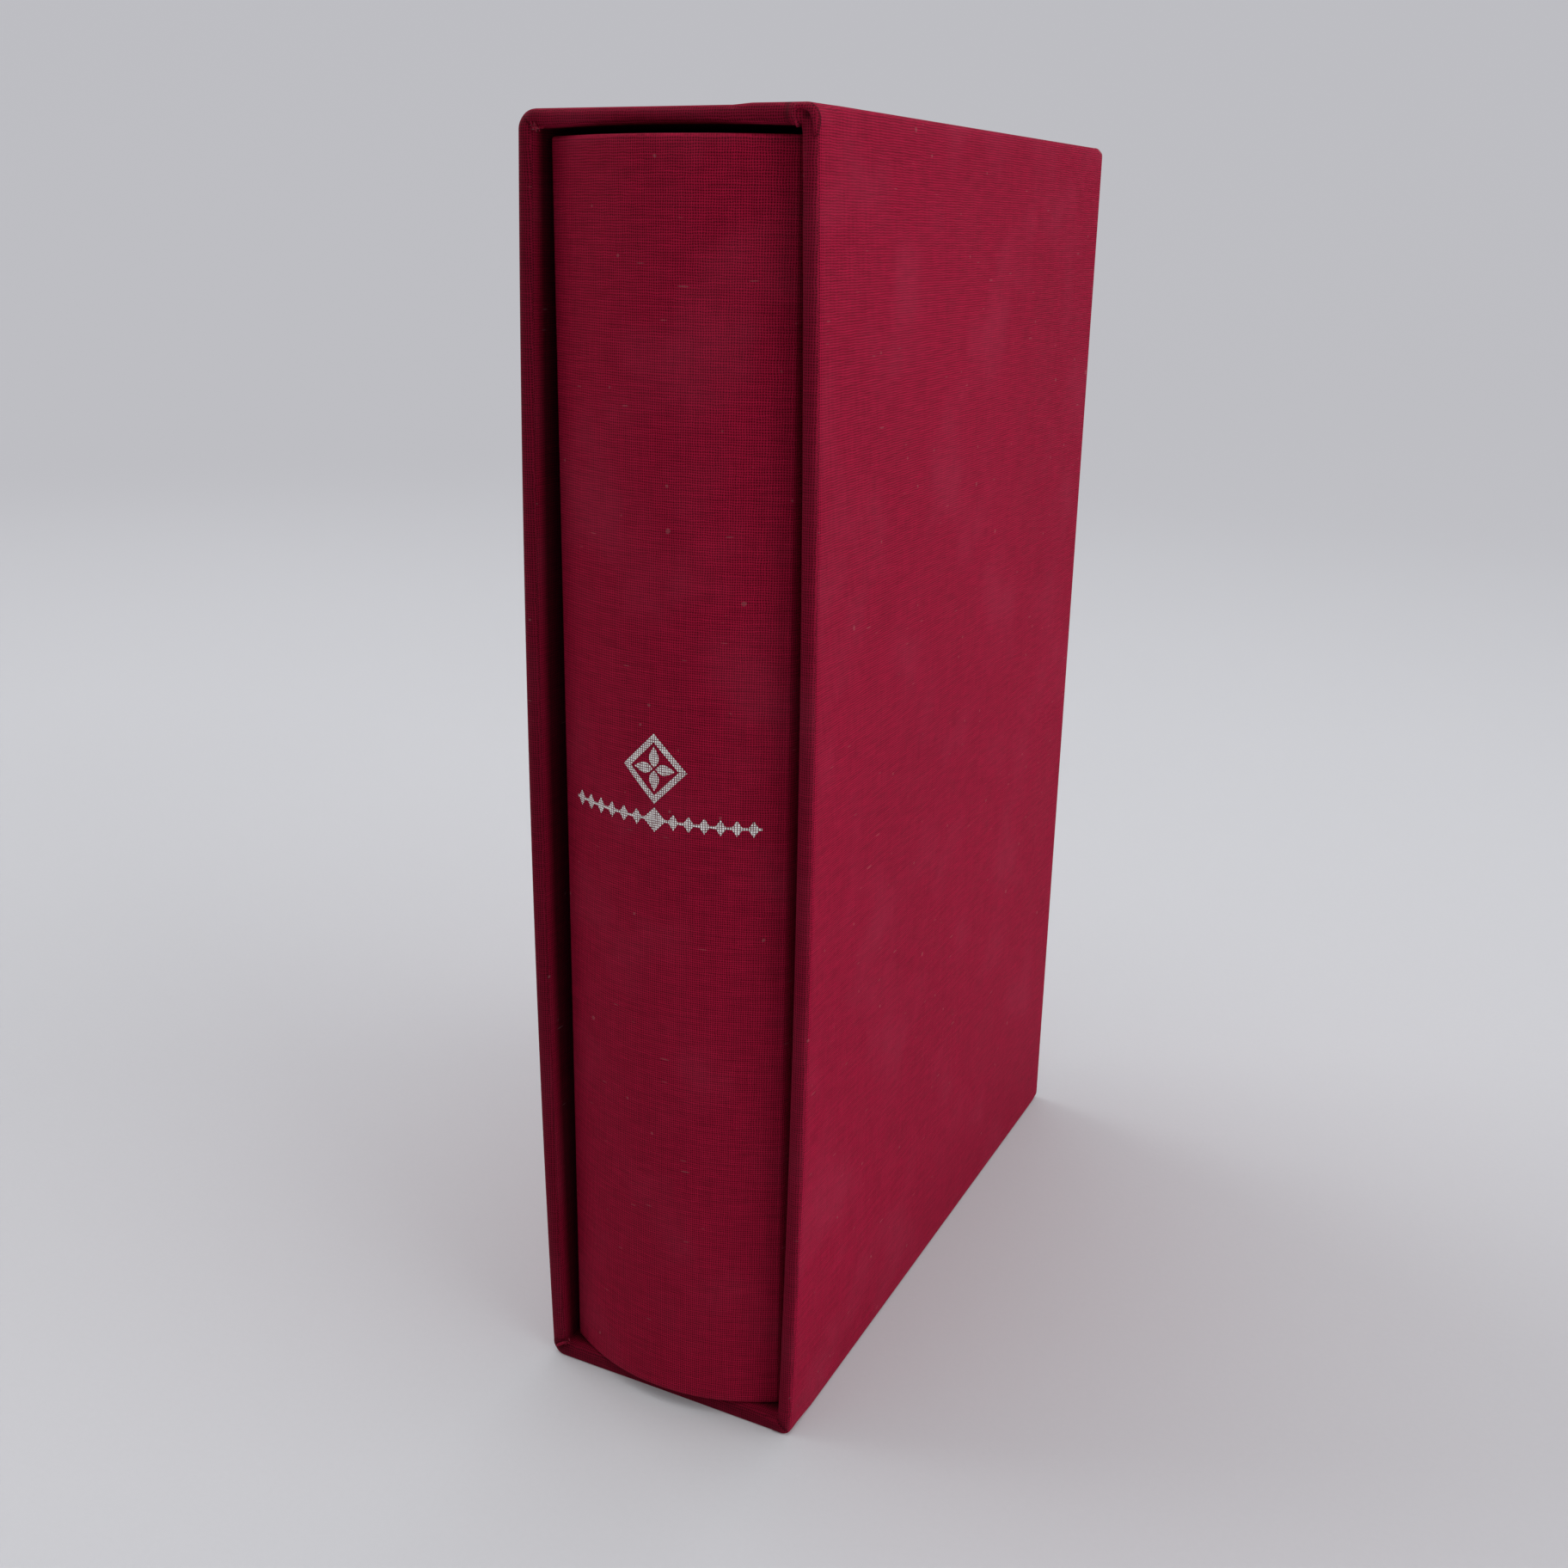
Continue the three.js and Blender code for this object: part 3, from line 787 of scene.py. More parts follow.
@dataclass
class SlipcaseCovering:
    """The cloth over the boards of the case, turned in round its mouth.

    Attributes:
        half_width: From the middle to the outside of a side wall at the back.
        wall: The thickness of a wall at the mouth, cloth on both sides.
        cloth: The thickness of the cloth.
        turn_in: How far the cloth turns in behind the mouth.
        spring: How far the side walls stand out at mid height of the mouth.
        lean_left: How far the whole left wall stands out at the mouth.
        lean_right: How far the right wall does.
        mouth_round: The rounding of the mouth's edges.
        pressed: The share of that rounding which is left where the case stands on it.
        arch: How far the top's inner edge is arched.
        back_round: The rounding of the back's edges.
        corner_round: The rounding of the long corners.
        inner_round: The rounding of the mouth's inner corners.
        lap: From where to where the second layer of cloth lies on the top.
        lap_rise: How far it stands up.
        tongue: From where to where the folded tongue at the top right goes.
        fold_x: Where the fold at the bottom right ends.
        hollow: The middle of the hollow beside the tongue, where shadow is painted, across and up.
        name: The piece's name.
        mouth_corners: How far each corner of the mouth is knocked round.
    """

    half_width: float = 27.11 * MM
    wall: float = 3.1 * MM
    cloth: float = 0.4 * MM
    turn_in: float = 14.0 * MM
    spring: float = 2.0 * MM
    lean_left: float = 0.5 * MM
    lean_right: float = 0.9 * MM
    mouth_round: float = 1.45 * MM
    pressed: float = 0.35
    arch: float = 0.45 * MM
    back_round: float = 0.9 * MM
    corner_round: float = 0.9 * MM
    inner_round: float = 0.25 * MM
    lap: Flat = (13.6 * MM, 26.8 * MM)
    lap_rise: float = 0.25 * MM
    tongue: Flat = (22.0 * MM, 24.8 * MM)
    fold_x: float = 21.5 * MM
    hollow: Flat = (25.3 * MM, 241.3 * MM)
    name: str = "slipcase_covering"
    mouth_corners: dict[Corner, float] = field(default_factory=lambda: {
        Corner.BOTTOM_LEFT: 2.8 * MM,
        Corner.BOTTOM_RIGHT: 1.6 * MM,
        Corner.TOP_RIGHT: 2.4 * MM,
        Corner.TOP_LEFT: 3.2 * MM,
    })

    def __post_init__(self) -> None:
        """Takes the mouth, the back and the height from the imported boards."""
        low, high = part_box("case_top_cloth")
        self.mouth_y = low[1]
        self.back_y = high[1]
        self.height = high[2]
        self.depth = self.back_y - self.mouth_y

    def sprung(self, x: float, y: float, z: float) -> float:
        """Where a point's x lies once the side walls have sprung.

        Args:
            x: Its x on a straight case.
            y: Its y.
            z: Its height.

        Returns:
            The new x.
        """
        up = min(max(z / self.height, 0.0), 1.0)
        inward = min(max((y - self.mouth_y) / self.depth, 0.0), 1.0)
        spring = self.spring * 4 * up * (1 - up) * (1 - inward) ** 2
        lean = (self.lean_right if x > 0 else self.lean_left) * (1 - inward)
        return x * (1 + (spring + lean) / self.half_width)

    def _ring(self) -> list[tuple[float, float, float, float, Corner | None, float]]:
        """The stations round the mouth: outside x and z, inside x and z, corner and share of its turn."""
        half, high = self.half_width, self.height
        inner = half - self.wall
        reach = self.wall + 0.3 * MM
        ring = []
        order = [Corner.BOTTOM_RIGHT, Corner.TOP_RIGHT, Corner.TOP_LEFT, Corner.BOTTOM_LEFT]
        for index, corner in enumerate(order):
            side, end = corner.value
            following = order[(index + 1) % 4].value
            outside_z, inside_z = (high, high - self.wall) if end > 0 else (0.0, self.wall)
            for share in shares(MITRE_STEPS, 0):
                ring.append((side * half, outside_z, side * inner, inside_z, corner, share))
            if side == following[0]:
                up = spaced(reach, high - reach, 3.4 * MM, 0.8 * MM, 6 * MM)
                for z in up[:: 1 if end < 0 else -1]:
                    ring.append((side * half, z, side * inner, z, None, 0.0))
            else:
                start = side * (half - reach)
                for x in spaced(start, -start, 1.6 * MM, 0.5 * MM, 5 * MM):
                    ring.append((x, outside_z, x, inside_z, None, 0.0))
        return ring

    def _profile(self) -> list[Flat]:
        """The stations across the wall: distance from its inside, and from the mouth."""
        front, back, wall = self.mouth_round, self.back_round, self.wall
        end = self.depth - back
        inside = [
            (0.0, self.turn_in * (1 - share) + front * share) for share in shares(EDGE_STEPS, 0)
        ]
        inner_edge = [(front * started, front * left) for started, left in quarter(LIP_STEPS)]
        outer_edge = [(wall - across, y) for across, y in reversed(inner_edge)]
        outside = [(wall, y) for y in spaced(front, end, 5.5 * MM, 0.7 * MM, 3 * MM)]
        back_edge = [
            (wall - back * started, self.depth - back * left) for started, left in quarter(LIP_STEPS)
        ]
        return inside + inner_edge + outer_edge + outside + back_edge + [(0.0, self.depth)]

    def _corner_radius(self, corner: Corner, y: float) -> float:
        """The rounding of a long corner, larger where the mouth and the far top are knocked."""
        near = self.mouth_corners[corner] * (1 - step(y, 3 * MM, 14 * MM))
        far = step(y, self.depth - 9 * MM, self.depth)
        knocked = 1.6 * MM if corner in (Corner.TOP_RIGHT, Corner.BOTTOM_RIGHT) else 0.8 * MM
        return max(self.corner_round, near, knocked * far)

    def _point(self, station: tuple, across: float, y: float) -> tuple[Point, float, float]:
        """One point of the covering, with its wear and its darkening, which is partly painted shade.

        Args:
            station: A station round the mouth.
            across: The distance from the inside of the wall.
            y: The distance from the mouth.

        Returns:
            The point, its wear and its darkening.
        """
        out_x, out_z, in_x, in_z, corner, turn = station
        under = 1.0 if out_z <= 0.0 else 0.0
        if corner is not None:
            side, end = corner.value
            from_side = (side > 0) == (end > 0)
            angle = math.radians(90.0 * (turn if from_side else 1 - turn))
            out_x, out_z = self._rounded_corner(corner, self._corner_radius(corner, y), angle)
            in_x, in_z = self._rounded_corner(corner, self.inner_round, angle, self.wall)
            under *= math.sin(angle)
        if under and across > self.wall / 2 and y < self.mouth_round:
            kept = 1 - (1 - self.pressed) * under
            across, y = self.wall - (self.wall - across) * kept, y * kept
        share = across / self.wall
        in_z += self.arched(in_x, y, in_z)
        x = in_x + (out_x - in_x) * share
        z = in_z + (out_z - in_z) * share
        wear = self._wear(x, y, z, share, corner)
        shade_and_darkening = self._shade_and_darkening(x, y, z, share, corner, turn)
        x, y, z = self._creased(x, y, z, share, corner, turn)
        return (self.sprung(x, y + self.mouth_y, z), y + self.mouth_y, z), wear, shade_and_darkening

    def arched(self, x: float, y: float, z: float) -> float:
        """How far the inner edge of the top is arched up.

        Args:
            x: Where, across the case.
            y: The distance from the mouth.
            z: The height there.

        Returns:
            The rise.
        """
        if z < self.height / 2:
            return 0.0
        middle = 1 - (x / (self.half_width - self.wall)) ** 2
        return self.arch * max(middle, 0.0) * bell(y, 14 * MM)

    def _rounded_corner(self, corner: Corner, radius: float, angle: float, inset: float = 0.0) -> Flat:
        """A point on the rounding of a corner, outside or at an inset."""
        side, end = corner.value
        x = self.half_width - inset - radius + radius * math.cos(angle)
        up = radius * math.sin(angle) - radius
        z = self.height - inset + up if end > 0 else inset - up
        return side * x, z

    def _wear(self, x: float, y: float, z: float, share: float, corner: Corner | None) -> float:
        """How worn the cloth is at a point, from 0 to 1."""
        to_back = self.depth - y
        mouth = bell(y - 0.2 * MM, 1.0 * MM) * bell(share - 1.0, 0.3) * 0.12
        back = bell(to_back, 1.2 * MM) * step(share, 0.6, 1.0) * 0.2
        far_top = 0.38 * bell(self.height - z, 2.4 * MM) * bell(to_back, 5 * MM) * step(share, 0.8, 1.0)
        far_top *= step(x, 22 * MM, 27 * MM)
        wear = max(mouth, back, far_top, 0.15 * step(share, 0.9, 1.0) if corner is not None else 0.0)
        if corner is not None and share > 0.8:
            far = 0.62 if corner is Corner.TOP_RIGHT else 0.35
            wear = max(wear, 0.25 * bell(y, 2.5 * MM), far * bell(to_back, 3.5 * MM))
        if corner is Corner.TOP_LEFT and share < 0.15:
            wear = max(wear, 0.5 * bell(y - 1 * MM, 1.6 * MM))
        return wear

    def _shade_and_darkening(self, x: float, y: float, z: float, share: float, corner: Corner | None, turn: float) -> float:
        """How dark the cloth is painted: darker on the lips and towards the bottom of the outside, and
        painted shade inside the mouth, in the creases, in the hollow beside the tongue and along its edge.
        """
        # Darker on the lips, most on the left and bottom ones.
        left = 0.14 * step(-x, self.half_width - 2 * self.wall, self.half_width - self.wall)
        low = 0.22 * (1 - step(z, self.wall, self.wall + 1 * MM))
        lip = bell(y, 1.8 * MM) * (1 - step(share, 0.8, 1.0)) * (0.44 + left + low)
        # Painted shade on the inner faces behind the lip, where the book and walls keep the light off.
        behind = step(y, 0.6 * MM, 3 * MM) * (1 - step(y, self.turn_in, 2 * self.turn_in))
        inside = 0.95 * behind * (1 - step(share, 0.0, 0.35))
        # Darker towards the bottom of the outside.
        foot = 0.12 * (1 - step(z, 0.0, 32 * MM)) * step(share, 0.9, 1.0)
        shade_and_darkening = max(lip, inside, foot)
        # Painted shade along the mitre creases.
        if corner not in (None, Corner.TOP_RIGHT) and 0.03 < share < 0.97:
            shade_and_darkening = max(shade_and_darkening, 0.8 * bell(turn - 0.5, 0.07) * bell(y, 1.5 * MM))
        near = bell(y, 1.8 * MM)
        # Painted shadow in the hollow beside the tongue.
        if z > self.height - self.wall - 2 * MM:
            shade_and_darkening = max(shade_and_darkening, 0.95 * bell(math.dist((x, z), self.hollow), 0.9 * MM) * near)
        # Painted shade along the tongue's edge.
        if z > self.height - self.wall:
            shade_and_darkening = max(shade_and_darkening, bell(x - self.tongue[0], 0.45 * MM) * near)
        return min(shade_and_darkening, 1.0)

    def _creased(self, x: float, y: float, z: float, share: float, corner: Corner | None,
                 turn: float) -> Point:
        """Adds the mitre creases, the lapped layer on the top and the folds at the corners."""
        lip = step(share, 0.02, 0.2) * (1 - step(share, 0.85, 1.0)) * bell(y, 1.2 * MM)
        if corner not in (None, Corner.TOP_RIGHT):
            y += 0.4 * MM * lip * bell(turn - 0.5, 0.18)
        top = step(z, self.height - 1.2 * MM, self.height - 0.2 * MM)
        start, end = self.lap
        lapped = step(x, start - 1.5 * MM, start + 2 * MM) * (1 - step(x, end - 1.3 * MM, end))
        z += self.lap_rise * top * lapped
        if z > self.height - self.wall - 0.5 * MM:
            start, end = self.tongue
            raised = step(x, start, start + 0.4 * MM) * (1 - step(x, end - 1 * MM, end))
            y -= 0.6 * MM * raised * bell(y, 1.4 * MM) * (1 - step(share, 0.93, 1.0))
        if z < self.wall + 0.5 * MM and x > 0:
            fold_edge = self.fold_x + 0.7 * (self.wall - z)
            y -= 0.22 * MM * step(x, fold_edge, fold_edge + 0.35 * MM) * lip
        return x, y, z

    def build(self, cloth: bpy.types.Material) -> bpy.types.Object:
        """Makes the covering and dresses it.

        Args:
            cloth: The cloth's material.

        Returns:
            The covering.
        """
        ring = self._ring()[::-1]
        made = [[self._point(station, across, y) for station in ring] for across, y in self._profile()]
        rows, wear, shade_and_darkening = ([[entry[kind] for entry in row] for row in made] for kind in range(3))
        sheet = Sheet(self.name, rows, wear, shade_and_darkening, around=True, caps=(len(rows) - 1,))
        piece = sheet.build(thickness=self.cloth * 0.9)
        piece.data.materials.append(cloth)
        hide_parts("case_wrap_cloth", "case_top_cloth", "case_bottom_cloth")
        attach(piece, "slipcase")
        return piece


@dataclass
class CaseBoards:
    """The boards under the case's covering, with their corners knocked round as the cloth shows them.

    Attributes:
        case: The covering over them.
        skin: The cloth and glue over a board.
        board: The thickness of a board.
        gap: The glue between two boards.
        knock: The rounding of the corners, measured on the covering.
    """

    case: SlipcaseCovering
    skin: float = 0.45 * MM
    board: float = 2.2 * MM
    gap: float = 0.05 * MM
    knock: float = 3.2 * MM

    def _corners(self) -> dict[str, tuple[Point, Point]]:
        """The straight boards by node, from one corner to the other, with y from the mouth."""
        case = self.case
        outer = case.half_width - self.skin
        inner = outer - self.board
        between = inner - self.gap
        back = case.depth - self.skin
        low, high = self.skin, case.height - self.skin
        before_back = back - self.board - self.gap
        return {
            "case_left_board": ((-outer, self.skin, low), (-inner, back, high)),
            "case_right_board": ((inner, self.skin, low), (outer, back, high)),
            "case_bottom_board": ((-between, self.skin, low), (between, before_back, low + self.board)),
            "case_top_board": ((-between, self.skin, high - self.board), (between, before_back, high)),
        }

    def _settled(self, x: float, y: float, z: float) -> Point:
        """A board's point, drawn in under the roundings of the covering and sprung with it."""
        case = self.case
        if z < case.height - self.skin - self.board / 2:
            z += case.arched(x, y, z)
        place = (x, y, z)
        middle = (0.0, case.depth / 2, case.height / 2)
        halves = (case.half_width, case.depth / 2, case.height / 2)
        away = [value - centre for value, centre in zip(place, middle)]
        past = [max(abs(part) - half + self.knock, 0.0) for part, half in zip(away, halves)]
        inside = self.knock - self.skin
        if sum(part > 0 for part in past) > 1 and math.hypot(*past) > inside:
            cut = 1 - inside / math.hypot(*past)
            x, y, z = (
                value - math.copysign(part * cut, way) for value, part, way in zip(place, past, away)
            )
        return case.sprung(x, y + case.mouth_y, z), y + case.mouth_y, z

    def _board(self, name: str, low: Point, high: Point) -> bpy.types.Object:
        """One board as a box with fine stations near its ends."""
        stations = []
        for start, end in zip(low, high):
            if end - start < 5 * MM:
                stations.append([start + (end - start) * k / 3 for k in range(4)])
            else:
                stations.append(spaced(start, end, 12 * MM, 0.7 * MM, 3.5 * MM))
        work = bmesh.new()
        index: dict[tuple[int, int, int], bmesh.types.BMVert] = {}
        counts = [len(axis) for axis in stations]

        def corner(key: tuple[int, int, int]) -> bmesh.types.BMVert:
            """The board's vertex at three stations."""
            if key not in index:
                place = [stations[axis][key[axis]] for axis in range(3)]
                index[key] = work.verts.new(self._settled(*place))
            return index[key]

        for axis in range(3):
            first, second = [other for other in range(3) if other != axis]
            cells = product((0, counts[axis] - 1), range(counts[first] - 1), range(counts[second] - 1))
            for side, i, j in cells:
                ring = []
                for di, dj in ((0, 0), (1, 0), (1, 1), (0, 1)):
                    key = {axis: side, first: i + di, second: j + dj}
                    ring.append(corner((key[0], key[1], key[2])))
                work.faces.new(ring)
        bmesh.ops.recalc_face_normals(work, faces=work.faces)
        mesh = bpy.data.meshes.new(name)
        work.to_mesh(mesh)
        work.free()
        return linked(name, mesh)

    def build(self, board: bpy.types.Material) -> list[bpy.types.Object]:
        """Makes the boards and dresses them.

        Args:
            board: The board's material.

        Returns:
            The boards.
        """
        pieces = []
        for node, (low, high) in self._corners().items():
            piece = self._board("knocked_" + node, low, high)
            piece.data.materials.append(board)
            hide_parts(node)
            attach(piece, "slipcase")
            pieces.append(piece)
        return pieces


@dataclass
class BookCover:
    """The cloth of the book's cover: over the round spine, down the grooves and over both boards.

    Attributes:
        radius: The radius of the spine's outside.
        shoulder_half: The half width where the spine turns its shoulder.
        shoulder_run: How far back the shoulder reaches.
        groove_run: From the shoulder to the bottom of the groove.
        climb_run: From there up on to the board.
        groove_half: The half width at the bottom of the groove.
        board_stack: Board with cloth on both sides.
        inlay_stack: Spine inlay with cloth on both sides.
        groove_stack: Two layers of cloth.
        turn_in: How far the cloth turns in.
        edge_round: The rounding of the turned edges.
        spread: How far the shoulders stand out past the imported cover.
        name: The piece's name.
    """

    radius: float = 41.1 * MM
    shoulder_half: float = 22.4 * MM
    shoulder_run: float = 4.2 * MM
    groove_run: float = 5.2 * MM
    climb_run: float = 3.8 * MM
    groove_half: float = 21.06 * MM
    board_stack: float = 3.45 * MM
    inlay_stack: float = 1.85 * MM
    groove_stack: float = 0.8 * MM
    turn_in: float = 15.0 * MM
    edge_round: float = 0.7 * MM
    spread: float = 0.35 * MM
    name: str = "cover_covering"

    def __post_init__(self) -> None:
        """Takes the spine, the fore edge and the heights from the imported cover."""
        low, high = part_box("cover_cloth")
        self.apex_y = low[1]
        self.fore_y = high[1]
        self.half = high[0]
        self.low_z = low[2]
        self.high_z = high[2]

    def _right(self) -> list[Station]:
        """The right half of the cover in plan, from the middle of the spine to the turn-in."""
        centre = self.apex_y + self.radius
        path: list[Station] = []

        def add(x: float, y: float, inward: Flat, stack: float, wear: float = 0.0) -> None:
            """Adds a point with the inside point behind it."""
            path.append(((x, y), (x + inward[0] * stack, y + inward[1] * stack), 1.0, wear))

        end = math.asin(self.shoulder_half / self.radius)
        for share in shares(SPINE_STEPS, 0):
            sine, cosine = math.sin(end * share), math.cos(end * share)
            add(self.radius * sine, centre - self.radius * cosine, (-sine, cosine), self.inlay_stack)
        start_y = centre - self.radius * math.cos(end)
        tip_y = start_y + self.shoulder_run
        for share in shares(SHOULDER_STEPS):
            x = self.shoulder_half + (self.half - self.shoulder_half) * math.sin(math.pi / 2 * share)
            y = start_y + self.shoulder_run * (1 - math.cos(math.pi / 2 * share)) ** 0.9
            turn = end + (math.pi / 2 - end) * share
            stack = self.inlay_stack + (self.groove_stack - self.inlay_stack) * share
            add(x, y, (-math.sin(turn), math.cos(turn)), stack, 0.1 * share)
        bottom_y = tip_y + self.groove_run
        for share in shares(GROOVE_STEPS):
            x = self.half + (self.groove_half - self.half) * step(share, 0, 1)
            add(x, tip_y + self.groove_run * share, (-1.0, 0.0), self.groove_stack)
        climb_y = bottom_y + self.climb_run
        inner_half = self.groove_half - self.groove_stack
        for share in shares(CLIMB_STEPS):
            x = self.groove_half + (self.half - self.groove_half) * step(share, 0, 1)
            add(x, bottom_y + self.climb_run * share, (-1.0, 0.0), x - inner_half)
        for y in spaced(climb_y, self.fore_y - self.edge_round, 5 * MM, 0.8 * MM, 3 * MM)[1:]:
            add(self.half, y, (-1.0, 0.0), self.board_stack)
        return path + self._fore_edge(inner_half)

    def _fore_edge(self, inner_half: float) -> list[Station]:
        """The cloth round the board's fore edge and turned in behind it."""
        path: list[Station] = []
        radius, fore = self.edge_round, self.fore_y
        for share, (started, left) in zip(shares(EDGE_STEPS), quarter(EDGE_STEPS)):
            outside = (self.half - radius * started, fore - radius * left)
            path.append((outside, (inner_half, fore), 1.0 - share, 0.35))
        for started, left in quarter(EDGE_STEPS):
            turned = (inner_half + radius * left, fore - radius * started)
            path.append((turned, turned, 0.0, 0.3))
        for share in shares(TURN_STEPS):
            turned = (inner_half, fore - radius - (self.turn_in - radius) * share)
            path.append((turned, turned, 0.0, 0.0))
        return path

    def _heights(self) -> list[Flat]:
        """The stations up the cover: height, and share of the way from outside to inside."""
        round_share = 0.22
        lift = self.edge_round
        tail = [(self.low_z + self.turn_in, 1.0), (self.low_z + lift, 1.0)]
        for started, left in quarter(LIP_STEPS):
            tail.append((self.low_z + lift * left, 1 - round_share * started))
        for started, left in [(0.0, 1.0), *quarter(LIP_STEPS)]:
            tail.append((self.low_z + lift * started, round_share * left))
        head = [(self.low_z + self.high_z - z, share) for z, share in reversed(tail)]
        between = spaced(self.low_z + lift, self.high_z - lift, 5 * MM, 1 * MM, 4 * MM)[1:-1]
        return tail + [(z, 0.0) for z in between] + head

    def build(self, cloth: bpy.types.Material) -> bpy.types.Object:
        """Makes the cover's cloth and dresses it.

        Args:
            cloth: The cloth's material.

        Returns:
            The cover.
        """
        right = self._right()
        left = [((-o[0], o[1]), (-i[0], i[1]), t, w) for o, i, t, w in reversed(right)]
        path = left + right[1:]
        runs = [0.0]
        for before, after in zip(path, path[1:]):
            runs.append(runs[-1] + math.dist(before[0], after[0]))
        middle = runs[len(left) - 1]
        rows, wear, laid = [], [], []
        for z, share in self._heights():
            rows.append([self._place(entry, z, share) for entry in path])
            ends = max(bell(z - self.low_z, 1.2 * MM), bell(self.high_z - z, 1.2 * MM))
            wear.append([max(entry[3] / 2, 0.18 * ends) for entry in path])
            laid.append([(run - middle, z - share * self.board_stack) for run in runs])
        sheet = Sheet(self.name, rows, wear, laid=laid)
        piece = sheet.build(thickness=0.08 * MM)
        piece.data.materials.append(cloth)
        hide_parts("cover_cloth")
        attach(piece, "book")
        return piece

    def _place(self, entry: Station, z: float, share: float) -> Point:
        """A point of the cover at a height, moved towards its inside by a share."""
        outside, inside, turned, _ = entry
        x = outside[0] + (inside[0] - outside[0]) * share
        y = outside[1] + (inside[1] - outside[1]) * share
        depth = outside[1] - self.apex_y
        spread = step(abs(outside[0]), 17 * MM, 23 * MM) * (1 - step(depth, 8 * MM, 20 * MM))
        x += math.copysign(self.spread * spread, x)
        edge = self.low_z if z < (self.low_z + self.high_z) / 2 else self.high_z
        if share >= 1.0:
            z = edge + (z - edge) * max(turned, 0.05)
        return x, y, z


@dataclass
class Pages:
    """The block of pages: round back, backed shoulders and a hollow fore edge.

    Attributes:
        back_radius: The radius of the round back.
        half: Half the bulk of the pages.
        shoulder_half: The half width at the shoulders.
        taper: How far the shoulders taper.
        hollow: How deep the fore edge is hollowed.
        name: The piece's name.
    """

    back_radius: float = 37.4 * MM
    half: float = 19.7 * MM
    shoulder_half: float = 21.7 * MM
    taper: float = 3.5 * MM
    hollow: float = 5.6 * MM
    name: str = "page_block"

    def __post_init__(self) -> None:
        """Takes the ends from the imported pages."""
        low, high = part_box("text_block")
        self.back_y, self.fore_y = low[1], high[1]
        self.low_z, self.high_z = low[2], high[2]

    def _outline(self) -> list[Flat]:
        """The outline in plan, anticlockwise."""
        centre = self.back_y + self.back_radius
        end = math.asin(self.shoulder_half / self.back_radius)
        back = [
            (self.back_radius * math.sin(a), centre - self.back_radius * math.cos(a))
            for a in (end * (2 * share - 1) for share in shares(2 * PAGE_STEPS, 0))
        ]
        radius = (self.half**2 + self.hollow**2) / (2 * self.hollow)
        spread = math.asin(self.half / radius)
        fore = [
            (radius * math.sin(a), self.fore_y - self.hollow + radius - radius * math.cos(a))
            for a in (spread * (1 - 2 * share) for share in shares(2 * PAGE_STEPS, 0))
        ]
        taper_y = back[-1][1] + self.taper
        right = [(self.half, taper_y), (self.half, taper_y + 1 * MM)]
        left = [(-x, y) for x, y in reversed(right)]
        return back + right + fore + left

    def build(self, edges: bpy.types.Material) -> bpy.types.Object:
        """Makes the pages and dresses their edges.

        Args:
            edges: The material of the cut edges.

        Returns:
            The pages.
        """
        outline = self._outline()
        soft = 0.25 * MM
        heights = [self.low_z, self.low_z + soft, self.high_z - soft, self.high_z]
        rows = [[(x, y, z) for x, y in outline] for z in heights]
        wear = [[0.0] * len(outline) for _ in heights]
        piece = Sheet(self.name, rows, wear, around=True, caps=(0, len(heights) - 1)).build()
        sharpen(piece, 40.0)
        piece.data.materials.append(edges)
        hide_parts("text_block")
        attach(piece, "book")
        return piece


class BandEnd(Enum):
    """Which end of the back a band crosses."""

    HEAD = 1
    TAIL = -1


